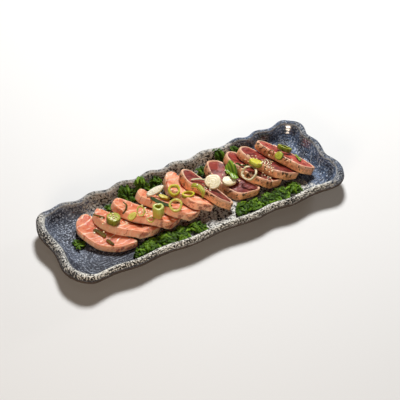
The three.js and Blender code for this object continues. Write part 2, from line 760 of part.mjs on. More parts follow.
/** A thick round cut across a stalk, with softened edges. */
function discGeometry({ radius, height, squash = 1 }) {
  const profile = [
    [radius * 0.88, 0],
    [radius, height * 0.2],
    [radius, height * 0.75],
    [radius * 0.86, height],
    [radius * 0.4, height * 1.06],
  ];
  return loft(roundRings(profile, squash), ENDS.CAPPED);
}

/** A hollow round: a short length of a scallion's tube. */
function ringGeometry({ radius, wall, height, squash = 1 }) {
  const inner = radius - wall;
  const profile = [
    [radius - wall * 0.2, 0],
    [radius, height * 0.5],
    [radius - wall * 0.2, height],
    [inner + wall * 0.15, height],
    [inner, height * 0.5],
    [inner + wall * 0.15, 0],
  ];
  return loft(roundRings(profile, squash), ENDS.LOOPED);
}

/** Sets a stiff piece down: its own z axis follows the given axis or the slope under it. */
function settle(geometry, { at, radius, axis, turn = 0 }, terrain) {
  const [alongX, alongY] = terrain.slope(at, radius);
  const steep = Math.max(1, Math.hypot(alongX, alongY) / STEEPEST_REST);
  const lean = new THREE.Vector3(...(axis ?? [-alongX / steep, -alongY / steep, 1])).normalize();
  const upright = new THREE.Vector3(0, 0, 1);
  const tilt = new THREE.Quaternion().setFromUnitVectors(upright, lean);
  geometry.applyQuaternion(tilt.multiply(new THREE.Quaternion().setFromAxisAngle(upright, turn)));
  geometry.translate(at[0], at[1], 0);
  geometry.translate(0, 0, Math.max(...trianglesOf(geometry).map((three) => shortfall(three, terrain))));
  return geometry;
}

const MAKERS = {
  [MAKE.DISC]: (spec, terrain) => settle(discGeometry(spec), spec, terrain),
  [MAKE.RING]: (spec, terrain) => settle(ringGeometry(spec), spec, terrain),
  [MAKE.SHEET]: sheetGeometry,
  [MAKE.BED]: bedGeometry,
};

// ---------------------------------------------------------------- sesame
/** The places of a cluster's seeds, on a golden-angle spiral. */
function clusterPoints({ at, count, reach }) {
  const points = [];
  for (let i = 0; i < count; i += 1) {
    const angle = i * GOLDEN_ANGLE;
    const distance = reach * Math.sqrt((i + 0.5) / count);
    points.push([at[0] + distance * Math.cos(angle), at[1] + distance * Math.sin(angle), angle]);
  }
  return points;
}

function seedGeometry(x, y, angle, z) {
  const seed = plain(new THREE.IcosahedronGeometry(1, 0));
  seed.scale(...SEED_HALF_SIZE);
  seed.rotateZ(angle);
  seed.translate(x, y, z + SEED_SIT);
  return seed;
}

/** The one piece under a whole seed, or nothing where the seed would touch two. */
function seedOwner(x, y, terrain) {
  const around = [[0, 0], [1, 0], [-1, 0], [0, 1], [0, -1]];
  const owners = around.map(([dx, dy]) => terrain.owner(x + dx * SEED_CLEAR, y + dy * SEED_CLEAR));
  return owners.every((name) => name === owners[0]) ? owners[0] : '';
}

// ---------------------------------------------------------------- the whole
const terrain = new Terrain();
const laid = new Map();

/** Lays a piece on all the earlier ones. */
function lay(name, geometry, finish) {
  terrain.add(name, geometry);
  laid.set(name, { geometry, finish, seeds: [] });
}

lay('plate', plateGeometry(), GLAZE);
for (const green of GREENS) {
  lay(green.name, MAKERS[green.make](green, terrain), LEAF);
}
for (const fish of SLICES) {
  lay(fish.name, sliceGeometry(fish, terrain), fish.fish);
}
for (const topping of TOPPINGS) {
  lay(topping.name, MAKERS[topping.make](topping, terrain), topping.finish);
}
for (const [x, y, angle] of SEED_CLUSTERS.flatMap(clusterPoints)) {
  const owner = seedOwner(x, y, terrain);
  if (owner && owner !== 'plate') {
    laid.get(owner).seeds.push(seedGeometry(x, y, angle, terrain.at(x, y)));
  }
}

const group = new THREE.Group();
for (const [name, { geometry, finish, seeds }] of laid) {
  const { colour, roughness } = finish;
  const material = new THREE.MeshStandardMaterial({ color: colour, roughness, metalness: 0 });
  const whole = seeds.length > 0 ? fuse([geometry, ...seeds]) : geometry;
  const mesh = new THREE.Mesh(whole, material);
  mesh.name = name;
  group.add(mesh);
}

export default group;
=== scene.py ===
"""A long stoneware plate of salmon and seared tuna, on curly leaves, with scallion, onion and sesame."""

import copy
import itertools
import logging
import math
from collections.abc import Callable, Sequence
from dataclasses import dataclass, replace
from enum import Enum
from typing import ClassVar

import bmesh
import bpy
import numpy as np
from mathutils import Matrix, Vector


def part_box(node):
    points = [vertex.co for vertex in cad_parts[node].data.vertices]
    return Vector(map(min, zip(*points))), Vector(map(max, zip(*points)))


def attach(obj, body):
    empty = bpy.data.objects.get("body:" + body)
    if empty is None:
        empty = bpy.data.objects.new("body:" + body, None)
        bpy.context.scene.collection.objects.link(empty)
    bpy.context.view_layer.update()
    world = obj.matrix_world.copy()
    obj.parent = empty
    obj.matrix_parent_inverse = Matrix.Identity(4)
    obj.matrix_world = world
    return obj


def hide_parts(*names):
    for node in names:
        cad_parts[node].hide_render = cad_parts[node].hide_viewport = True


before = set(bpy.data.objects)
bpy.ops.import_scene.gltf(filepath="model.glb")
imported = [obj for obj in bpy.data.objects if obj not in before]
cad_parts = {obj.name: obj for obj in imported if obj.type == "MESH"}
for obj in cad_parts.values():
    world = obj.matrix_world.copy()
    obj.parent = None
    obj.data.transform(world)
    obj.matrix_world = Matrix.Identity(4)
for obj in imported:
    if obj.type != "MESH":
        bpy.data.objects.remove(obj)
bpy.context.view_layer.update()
LOG = logging.getLogger("sashimi")

MM = 0.001
FLOOR_Z = 8.0
GAP = 0.4
SLICE_GAP = 0.6
WELD_REACH = 0.002
SLIVER = 1e-5
EDGE_SHARE = 0.35
GOLDEN_ANGLE = math.pi * (3 - math.sqrt(5))
HASH_STEPS = (73856093, 19349663, 83492791)
HASH_SEED = 49979687
HASH_MIXES = ((13, 1274126177), (11, 60493))
HASH_TOP = 0x7FFFFFFF

Array = np.ndarray
Thing = bpy.types.Object
Material = bpy.types.Material
Tree = bpy.types.NodeTree
Socket = bpy.types.NodeSocket
Value = float | Array
Number = Socket | float
Plan = tuple[float, float]
Line = tuple[Plan, ...]
Spot = tuple[float, float, float]
Paint = tuple[float, float, float, float]
Edges = tuple[float, float, float, float]
Fields = dict[str, Array]


# -------- numbers
def lerp(a: Value, b: Value, t: Value) -> Value:
    """The value a share t of the way from a to b."""
    return a + (b - a) * t


def smooth(value: Array, low: float, high: float) -> Array:
    """A soft step from 0 at low to 1 at high, which may lie below low."""
    t = np.clip((np.asarray(value, float) - low) / (high - low), 0, 1)
    return t * t * (3 - 2 * t)


def band(value: Array, edges: Edges) -> Array:
    """1 between the second and third edge, falling softly to 0 at the first and last."""
    return smooth(value, edges[0], edges[1]) * smooth(value, edges[3], edges[2])


def arch(s: Value, heights: Spot) -> Value:
    """The height of a curve a share s along it, pulled towards heights at its start, middle and end."""
    return (1 - s) ** 2 * heights[0] + 2 * s * (1 - s) * heights[1] + s**2 * heights[2]


def beside_line(root: Plan, tip: Plan, forward: Value, sideways: Value) -> tuple[Value, Value]:
    """x and y at distances forward along a line from its root, and sideways to its left."""
    start, way = np.array(root, float), np.array(tip, float) - np.array(root, float)
    u = way / np.hypot(*way)
    return start[0] + u[0] * forward - u[1] * sideways, start[1] + u[1] * forward + u[0] * sideways


def lattice_noise(points: Array, size: float, seed: int) -> Array:
    """Smooth uneven values from -1 to 1.

    Args:
        points: positions in millimetres, shaped (..., 3).
        size: width of one lump in millimetres.
        seed: which pattern.

    Returns:
        One value for each point.
    """
    scaled = np.asarray(points, float) / size
    cell = np.floor(scaled).astype(np.int64)
    part = scaled - cell
    part = part * part * (3 - 2 * part)
    total = np.zeros(scaled.shape[:-1])
    for corner in itertools.product((0, 1), repeat=3):
        mixed = np.bitwise_xor.reduce((cell + corner) * HASH_STEPS, axis=-1) ^ (seed * HASH_SEED)
        for shift, factor in HASH_MIXES:
            mixed = ((mixed ^ (mixed >> shift)) * factor) & HASH_TOP
        weight = np.prod(np.where(np.array(corner) == 1, part, 1 - part), axis=-1)
        total += weight * (mixed / (HASH_TOP // 2) - 1)
    return total


def smooth_path(points: Array, per_span: int) -> Array:
    """A smooth path through points, which passes through each of them.

    Args:
        points: shaped (n, k).
        per_span: steps from each point to the next.

    Returns:
        The path's points, shaped (m, k).
    """
    held = np.vstack([points[0], points, points[-1]])
    out = []
    for i in range(1, len(held) - 2):
        a, b, c, d = held[i - 1 : i + 3]
        for t in np.arange(per_span) / per_span:
            straight = 2 * b + (c - a) * t
            bend = (2 * a - 5 * b + 4 * c - d) * t**2
            twist = (3 * b - a - 3 * c + d) * t**3
            out.append(0.5 * (straight + bend + twist))
    out.append(points[-1])
    return np.array(out)


# -------- meshes
class Close(Enum):
    """How the first and last ring of a lofted mesh are closed."""

    SEAM = "seam"
    FAN = "fan"
    LOOP = "loop"


def keep(mesh: bpy.types.Mesh, name: str, values: Array) -> None:
    """Keeps a number for each vertex of a mesh, under a name."""
    layer = mesh.attributes.get(name) or mesh.attributes.new(name, "FLOAT", "POINT")
    layer.data.foreach_set("value", np.asarray(values, np.float32).ravel())


def vertex_places(mesh: bpy.types.Mesh) -> Array:
    """The places of a mesh's vertices in millimetres, shaped (n, 3)."""
    places = np.zeros(len(mesh.vertices) * 3)
    mesh.vertices.foreach_get("co", places)
    return places.reshape(-1, 3) / MM


def linked(name: str, data: bpy.types.ID) -> Thing:
    """A new object in the scene that shows this mesh, light or camera."""
    made = bpy.data.objects.new(name, data)
    bpy.context.scene.collection.objects.link(made)
    return made


def new_object(name: str, vertices: Array, faces: Sequence, fields: Fields) -> Thing:
    """A smooth mesh object with its place in its vertices.

    Args:
        name: the object's name.
        vertices: positions in millimetres, shaped (n, 3).
        faces: tuples of vertex numbers, counter-clockwise from outside.
        fields: a value for each vertex, by attribute name.

    Returns:
        The linked object.
    """
    mesh = bpy.data.meshes.new(name)
    mesh.from_pydata((np.asarray(vertices) * MM).tolist(), [], [tuple(map(int, f)) for f in faces])
    for key, values in fields.items():
        keep(mesh, key, values)
    mesh.shade_smooth()
    return linked(name, mesh)


def weld(made: Thing) -> Thing:
    """Merges the vertices of a mesh that lie together, and drops what that collapses.

    Args:
        made: the object.

    Returns:
        The same object.
    """
    mesh = bmesh.new()
    mesh.from_mesh(made.data)
    bmesh.ops.remove_doubles(mesh, verts=mesh.verts, dist=WELD_REACH * MM)
    bmesh.ops.dissolve_degenerate(mesh, edges=mesh.edges, dist=SLIVER * MM)
    mesh.to_mesh(made.data)
    mesh.free()
    return made


def loft(name: str, rings: Array, close: Close, fields: Fields) -> Thing:
    """A closed mesh through rings of equal length, which run counter-clockwise from the first to the last.

    Args:
        name: the object's name.
        rings: points in millimetres, shaped (rings, points, 3).
        close: how the ends are closed.
        fields: a value for each point, shaped (rings, points), by attribute name.

    Returns:
        The object.
    """
    count, points = rings.shape[:2]
    bands = count if close is Close.LOOP else count - 1
    low = np.arange(bands)[:, None] * points
    high = ((np.arange(bands)[:, None] + 1) % count) * points
    here = np.arange(points)[None, :]
    after = (here + 1) % points
    faces = np.stack([low + here, low + after, high + after, high + here], -1).reshape(-1, 4).tolist()
    vertices = rings.reshape(-1, 3)
    values = {key: value.reshape(-1) for key, value in fields.items()}
    if close is Close.FAN:
        for ring, flip in ((0, True), (count - 1, False)):
            vertices = np.vstack([vertices, rings[ring].mean(0)])
            values = {key: np.append(value, fields[key][ring].mean()) for key, value in values.items()}
            for i in range(points):
                pair = (ring * points + i, ring * points + (i + 1) % points)
                faces.append((len(vertices) - 1, *(pair[::-1] if flip else pair)))
    made = new_object(name, vertices, faces, values)
    return weld(made) if close is Close.SEAM else made


def thin_sheet(name: str, grid: Array, thick: float, fields: Fields) -> Thing:
    """A closed thin sheet round a grid of middle points.

    Args:
        name: the object's name.
        grid: points in millimetres, shaped (along, across, 3).
        thick: thickness in millimetres.
        fields: a value for each point, shaped (along, across), by attribute name.

    Returns:
        The object.
    """
    rows, columns = grid.shape[:2]
    normal = np.cross(np.gradient(grid, axis=0), np.gradient(grid, axis=1))
    normal /= np.linalg.norm(normal, axis=-1, keepdims=True) + 1e-9
    normal *= np.where(normal[..., 2:].mean() < 0, -1, 1)
    share = np.ones((rows, columns, 1))
    share[:, [0, -1]] = EDGE_SHARE
    share[[0, -1]] = EDGE_SHARE
    half = normal * share * thick / 2
    vertices = np.concatenate([grid + half, grid - half]).reshape(-1, 3)
    under = rows * columns
    number = np.arange(under).reshape(rows, columns)
    quads = np.stack([number[:-1, :-1], number[:-1, 1:], number[1:, 1:], number[1:, :-1]], -1).reshape(-1, 4)
    rim = np.concatenate([number[0, :-1], number[:-1, -1], number[-1, :0:-1], number[:0:-1, 0]])
    after = np.roll(rim, -1)
    upper = quads if np.cross(grid[0, 1] - grid[0, 0], grid[1, 0] - grid[0, 0])[2] > 0 else quads[:, ::-1]
    side = np.stack([rim, rim + under, after + under, after], -1)
    side = side if upper is quads else side[:, ::-1]
    faces = np.concatenate([upper, upper[:, ::-1] + under, side])
    values = {key: np.concatenate([value, value]).reshape(-1) for key, value in fields.items()}
    return new_object(name, vertices, faces, values)


def surface_normals(rings: Array) -> Array:
    """The way that each point of a lofted surface faces, shaped like its rings: (rings, points, 3)."""
    along = np.roll(rings, -1, 1) - np.roll(rings, 1, 1)
    over = np.gradient(rings, axis=0)
    normal = np.cross(along, over)
    return normal / (np.linalg.norm(normal, axis=-1, keepdims=True) + 1e-9)


def joined(name: str, parts: Sequence[Thing]) -> Thing:
    """Joins mesh objects, which are then gone.

    Args:
        name: the new piece's name.
        parts: the objects.

    Returns:
        The one piece.
    """
    first, chosen = parts[0], list(parts)
    with bpy.context.temp_override(
        active_object=first, object=first, selected_objects=chosen, selected_editable_objects=chosen
    ):
        bpy.ops.object.join()
    first.name = name
    first.data.name = name
    return first


# -------- what is already laid
def node_triangles(node: str) -> Array:
    """The triangles of a CAD node.

    Args:
        node: its name.

    Returns:
        Their corners in millimetres, shaped (n, 3, 3).
    """
    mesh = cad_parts[node].data
    mesh.calc_loop_triangles()
    corners = np.zeros(len(mesh.loop_triangles) * 3, np.int32)
    mesh.loop_triangles.foreach_get("vertices", corners)
    return vertex_places(mesh)[corners].reshape(-1, 3, 3)


def around_each(grid: Array) -> Array:
    """Each cell of a grid together with the eight round it, shaped (9, rows, columns)."""
    padded = np.pad(grid, 1, mode="edge")
    rows, columns = grid.shape
    return np.array([padded[i : i + rows, j : j + columns] for i in range(3) for j in range(3)])


@dataclass
class Laid:
    """Heights of all that lies on a plate of this size so far, in cells a millimetre wide."""

    length: float
    width: float

    def __post_init__(self) -> None:
        """Starts with nothing laid."""
        self.heights = np.full((math.ceil(self.length) + 1, math.ceil(self.width) + 1), -1.0)
        self.near = self.heights.copy()

    def cells(self, x: Array, y: Array) -> tuple[Array, Array]:
        """The column and row of the cell that each place lies in."""
        columns, rows = self.heights.shape
        column = np.clip(np.round(np.asarray(x) + self.length / 2).astype(int), 0, columns - 1)
        row = np.clip(np.round(np.asarray(y) + self.width / 2).astype(int), 0, rows - 1)
        return column, row

    def add(self, points: Array) -> None:
        """Raises the cells that hold any of these points."""
        x, y, z = (points[..., i].ravel() for i in range(3))
        np.maximum.at(self.heights, self.cells(x, y), z)
        self.near = around_each(self.heights).max(0)

    def add_node(self, node: str, steps: int = 12) -> None:
        """Raises the cells under a CAD node's triangles, at points spread over each of them."""
        a, b, c = node_triangles(node).transpose(1, 0, 2)
        shares = [(i / steps, j / steps) for i in range(steps + 1) for j in range(steps + 1 - i)]
        self.add(np.concatenate([a * (1 - u - v) + b * u + c * v for u, v in shares]))

    def height(self, x: Array, y: Array) -> Array:
        """The greatest height in the cells round each place, which is never below the plate's floor."""
        return np.maximum(self.near[self.cells(x, y)], FLOOR_Z)

    def slope(self, at: Plan, reach: float) -> Plan:
        """The slope of the plane that best fits the heights round a place.

        Args:
            at: the place.
            reach: how far round it the heights count.

        Returns:
            The slope along x and along y.
        """
        offsets = np.arange(-reach, reach + 0.01, 1.0)
        dx, dy = np.meshgrid(offsets, offsets, indexing="ij")
        z = self.heights[self.cells(at[0] + dx, at[1] + dy)]
        known = np.stack([dx.ravel(), dy.ravel(), np.ones(dx.size)], 1)
        solved = np.linalg.lstsq(known, z.ravel(), rcond=None)[0]
        return float(solved[0]), float(solved[1])

    def under(self, outline: Array) -> Array:
        """The cells inside a closed outline.

        Args:
            outline: its points in plan, shaped (n, 2).

        Returns:
            Their centres with their heights, shaped (m, 3).
        """
        column, row = np.indices(self.heights.shape)
        x = column - self.length / 2
        y = row - self.width / 2
        odd = np.zeros(x.shape, bool)
        for (xi, yi), (xj, yj) in zip(outline, np.roll(outline, 1, 0)):
            if yi != yj:
                odd ^= ((yi > y) != (yj > y)) & (x < (xj - xi) * (y - yi) / (yj - yi) + xi)
        return np.stack([x[odd], y[odd], self.heights[odd]], -1)


@dataclass
class Drape:
    """The underside of a soft piece that falls away to the right and bends over what lies under it.

    Attributes:
        held: the points that hold it up, shaped (n, 3).
        slope, sag_share: its fall to the right of a point, and to the left as a share of that.
        radius: the tightest that it bends.
        crown_reach, crown_samples: how far round a place the upper side is eased, and at how many points.
    """

    held: Array
    slope: float
    radius: float = 30.0
    sag_share: float = 0.3
    crown_reach: float = 4.5
    crown_samples: int = 6
    margin: int = 8
    batch: int = 800

    def __post_init__(self) -> None:
        """Works the underside and the eased upper side out on a grid of cells a millimetre wide."""
        self.corner = np.floor(self.held[:, :2].min(0)) - self.margin
        last = np.ceil(self.held[:, :2].max(0)) + self.margin
        x, y = np.meshgrid(*(np.arange(a, b + 1) for a, b in zip(self.corner, last)), indexing="ij")
        self.low = self.base(x.ravel(), y.ravel()).reshape(x.shape)
        total = self.low.copy()
        for k in range(self.crown_samples):
            angle = 2 * math.pi * k / self.crown_samples
            east, north = self.crown_reach * math.cos(angle), self.crown_reach * math.sin(angle)
            total += self.look(self.low, x + east, y + north)
        self.high = total / (self.crown_samples + 1)

    def base(self, x: Array, y: Array) -> Array:
        """The height of the underside.

        Args:
            x, y: the places, shaped (n,).

        Returns:
            One height for each.
        """
        out = np.empty(len(x))
        for start in range(0, len(x), self.batch):
            part = slice(start, start + self.batch)
            dx = x[part, None] - self.held[None, :, 0]
            dy = y[part, None] - self.held[None, :, 1]
            fall = dx * self.slope * np.where(dx > 0, 1.0, self.sag_share)
            out[part] = (self.held[None, :, 2] - fall - (dx**2 + dy**2) / (2 * self.radius)).max(1)
        return np.maximum(out, FLOOR_Z) + SLICE_GAP

    def look(self, grid: Array, x: Array, y: Array) -> Array:
        """A grid's values at places, blended between its cells.

        Args:
            grid: the underside or the upper side.
            x, y: the places.

        Returns:
            One value for each.
        """
        u = np.clip(x - self.corner[0], 0, grid.shape[0] - 1.001)
        v = np.clip(y - self.corner[1], 0, grid.shape[1] - 1.001)
        i, j = u.astype(int), v.astype(int)
        a, b = u - i, v - j
        return (
            grid[i, j] * (1 - a) * (1 - b)
            + grid[i + 1, j] * a * (1 - b)
            + grid[i, j + 1] * (1 - a) * b
            + grid[i + 1, j + 1] * a * b
        )

    def between(self, x: Array, y: Array, up: Array) -> Array:
        """The height a share up of the way from the underside to the eased upper side."""
        return lerp(self.look(self.low, x, y), self.look(self.high, x, y), up)


# -------- shaders
def paint(red: float, green: float, blue: float, alpha: float = 1.0) -> Paint:
    """A display colour from 0 to 255 as the linear colour that a shader takes."""
    linear = [((v / 255 + 0.055) / 1.055) ** 2.4 if v > 10 else v / 255 / 12.92 for v in (red, green, blue)]
    return (*linear, alpha)


@dataclass
class Graph:
    """A node tree that is being filled."""

    tree: Tree

    def node(self, kind: str, inputs: dict | None = None, **settings: object) -> bpy.types.Node:
        """Adds a node.

        Args:
            kind: the node's type name.
            inputs: a socket to link or a value to set, by the input's name or number.
            settings: properties of the node.

        Returns:
            The node.
        """
        made = self.tree.nodes.new(kind)
        for key, value in settings.items():
            setattr(made, key, value)
        for key, value in (inputs or {}).items():
            if isinstance(value, Socket):
                self.tree.links.new(value, made.inputs[key])
            else:
                made.inputs[key].default_value = value
        return made

    def out(self, kind: str, inputs: dict | None = None, output: int | str = 0, **settings: object) -> Socket:
        """One output of a new node."""
        return self.node(kind, inputs, **settings).outputs[output]

    def math(self, operation: str, a: Number, b: Number = 0.0) -> Socket:
        """One step of arithmetic on numbers."""
        return self.out("ShaderNodeMath", {0: a, 1: b}, operation=operation)

    def plus(self, a: Number, b: Number) -> Socket:
        """The sum of two numbers."""
        return self.math("ADD", a, b)

    def minus(self, a: Number, b: Number) -> Socket:
        """The first number less the second."""
        return self.math("SUBTRACT", a, b)

    def times(self, a: Number, b: Number) -> Socket:
        """The product of two numbers."""
        return self.math("MULTIPLY", a, b)

    def swing(self, value: Socket, size: float) -> Socket:
        """A value from 0 to 1 made to swing about 0, by a size from end to end."""
        return self.times(self.minus(value, 0.5), size)

    def step(self, value: Socket, low: float, high: float, least: float = 0.0, most: float = 1.0) -> Socket:
        """A soft step of a value.

        Args:
            value: the value.
            low, high: where the step starts and ends, in either order.
            least, most: what it gives at low and at high.

        Returns:
            The result.
        """
        inputs = {"From Min": low, "From Max": high, "To Min": least, "To Max": most}
        if low > high:
            inputs = {"From Min": high, "From Max": low, "To Min": most, "To Max": least}
        inputs["Value"] = value
        return self.out("ShaderNodeMapRange", inputs, interpolation_type="SMOOTHSTEP")

    def mix(self, share: Number, a: Socket | Paint, b: Socket | Paint) -> Socket:
        """The colour a share of the way from a to b."""
        return self.out("ShaderNodeMix", {0: share, 6: a, 7: b}, 2, data_type="RGBA")

    def kept(self, name: str) -> Socket:
        """A number kept in the mesh."""
        return self.out("ShaderNodeAttribute", output="Fac", attribute_name=name)

    def place(self, stretch: Spot | None = None) -> Socket:
        """The point on the piece in metres, stretched along its axes where that is asked."""
        point = self.out("ShaderNodeTexCoord", output="Object")
        if stretch:
            point = self.out("ShaderNodeMapping", {"Vector": point, "Scale": stretch})
        return point

    def own_place(self, x: Socket, y: Socket) -> Socket:
        """A point made of two numbers."""
        return self.out("ShaderNodeCombineXYZ", {0: x, 1: y})

    def noise(self, point: Socket, size: float, detail: float = 2.0, roughness: float = 0.5) -> Socket:
        """Smooth unevenness from 0 to 1, with lumps of a size in the point's units."""
        inputs = {"Vector": point, "Scale": 1 / size, "Detail": detail, "Roughness": roughness}
        return self.out("ShaderNodeTexNoise", inputs)


def new_group(name: str, numbers: dict[str, float], output: str) -> tuple[Graph, dict[str, Socket], Callable]:
    """Starts a shared shader group that takes a point and named numbers, and gives one number.

    Args:
        name: the group's name.
        numbers: each number's usual value, by name.
        output: the name of what it gives.

    Returns:
        The graph, its inputs by name, and a function that links a socket to the output.
    """
    tree = bpy.data.node_groups.new(name, "ShaderNodeTree")
    tree.interface.new_socket("Point", in_out="INPUT", socket_type="NodeSocketVector")
    for key, value in numbers.items():
        tree.interface.new_socket(key, in_out="INPUT", socket_type="NodeSocketFloat").default_value = value
    tree.interface.new_socket(output, in_out="OUTPUT", socket_type="NodeSocketFloat")
    graph = Graph(tree)
    start = graph.node("NodeGroupInput")
    end = graph.node("NodeGroupOutput")
    return graph, start.outputs, lambda socket: tree.links.new(socket, end.inputs[output])


def speckle_group() -> Tree:
    """Makes the group for specks of one size that cover a chosen share of a surface."""
    graph, given, put = new_group("speckle", {"Scale": 500.0, "Share": 0.3, "Softness": 0.04}, "Mask")
    inputs = {"Vector": given["Point"], "Scale": given["Scale"], "Detail": 2.0, "Roughness": 0.65}
    value = graph.out("ShaderNodeTexNoise", inputs)
    edge = graph.minus(0.72, graph.times(given["Share"], 0.44))
    high = graph.plus(edge, given["Softness"])
    put(graph.out("ShaderNodeMapRange", {"Value": value, "From Min": edge, "From Max": high}))
    return graph.tree


def unevenness_group() -> Tree:
    """Makes the group for large soft lumps with finer ones, a sixth as wide, on them."""
    graph, given, put = new_group("unevenness", {"Scale": 100.0, "Fine Share": 0.3}, "Value")
    large = {"Vector": given["Point"], "Scale": given["Scale"], "Detail": 1.0}
    small = {"Vector": given["Point"], "Scale": graph.times(given["Scale"], 6.0), "Detail": 2.0}
    large, small = (graph.out("ShaderNodeTexNoise", inputs) for inputs in (large, small))
    rest = graph.minus(1.0, given["Fine Share"])
    put(graph.plus(graph.times(large, rest), graph.times(small, given["Fine Share"])))
    return graph.tree


@dataclass(frozen=True)
class Shared:
    """The shader groups that several finishes use."""

    speckle: Tree
    unevenness: Tree


@dataclass
class Surface(Graph):
    """The node tree of a material, with its shader and the groups that may be placed in it."""

    shader: bpy.types.Node
    shared: Shared

    def specks(self, point: Socket, scale: float, share: Number, softness: float = 0.04) -> Socket:
        """Where specks lie that cover a share of the surface."""
        inputs = {"Point": point, "Scale": scale, "Share": share, "Softness": softness}
        return self.out("ShaderNodeGroup", inputs, "Mask", node_tree=self.shared.speckle)

    def lumps(self, point: Socket, scale: float, fine_share: float = 0.3) -> Socket:
        """Unevenness from 0 to 1."""
        inputs = {"Point": point, "Scale": scale, "Fine Share": fine_share}
        return self.out("ShaderNodeGroup", inputs, "Value", node_tree=self.shared.unevenness)

    def feed(self, name: str, value: Socket) -> None:
        """Links a socket to one of the shader's inputs."""
        self.tree.links.new(value, self.shader.inputs[name])

    def relief(self, height: Socket, depth: float, strength: float = 0.8) -> None:
        """Gives the surface fine relief, whose depth is in millimetres."""
        inputs = {"Height": height, "Distance": depth * MM, "Strength": strength}
        self.feed("Normal", self.out("ShaderNodeBump", inputs))


# -------- finishes
@dataclass(frozen=True)
class Finish:
    """A moist surface: each kind adds its own colour and relief.

    Attributes:
        specular: how strong its own shine is.
        coat, coat_roughness, coat_ior: the wet film or glaze on it.
        subsurface, bleed, bleed_reach: how much light goes into it, how far as a share for red, green
            and blue, and how far in millimetres.
    """

    name: str
    roughness: float = 0.4
    coat: float = 0.0
    coat_roughness: float = 0.18
    coat_ior: float = 1.5
    subsurface: float = 0.0
    bleed: Spot = (1.0, 0.4, 0.2)
    bleed_reach: float = 3.0
    specular: float = 0.5

    def material(self, shared: Shared) -> Material:
        """Makes the material.

        Args:
            shared: the shader groups that may be placed in it.

        Returns:
            The material.
        """
        made = bpy.data.materials.new(self.name)
        made.use_nodes = True
        on = Surface(made.node_tree, made.node_tree.nodes["Principled BSDF"], shared)
        plain = {
            "Roughness": self.roughness,
            "Specular IOR Level": self.specular,
            "Coat Weight": self.coat,
            "Coat Roughness": self.coat_roughness,
            "Coat IOR": self.coat_ior,
            "Subsurface Weight": self.subsurface,
            "Subsurface Radius": self.bleed,
            "Subsurface Scale": self.bleed_reach * MM,
        }
        for key, value in plain.items():
            on.shader.inputs[key].default_value = value
        self.dress(on)
        return made

    def dress(self, on: Surface) -> None:
        """Adds the colour and the relief."""
        raise NotImplementedError


@dataclass
class Glazed:
    """A glazed surface, with the zones kept in its mesh and the patterns that several glazes show."""

    on: Surface
    comb_turn: float

    def __post_init__(self) -> None:
        """Reads the zones and lays the patterns."""
        on = self.on
        self.white, self.brown, self.blue = (on.kept(k) for k in ("white", "brown", "blue"))
        self.lip, self.line, self.gloss = (on.kept(k) for k in ("lip", "line", "gloss"))
        self.outer, self.shade = (on.kept(k) for k in ("outer", "shade"))
        self.inset, self.around = (on.kept(k) for k in ("inset", "around"))
        self.point = on.place()
        self.uneven = on.lumps(self.point, 70.0, 0.45)
        self.comb = on.math("SINE", on.times(self.inset, self.comb_turn))
        self.dust = on.specks(self.point, 520.0, 0.36)
        self.fine = on.specks(self.point, 430.0, 0.6)
        self.coarse = on.specks(self.point, 230.0, 0.34)


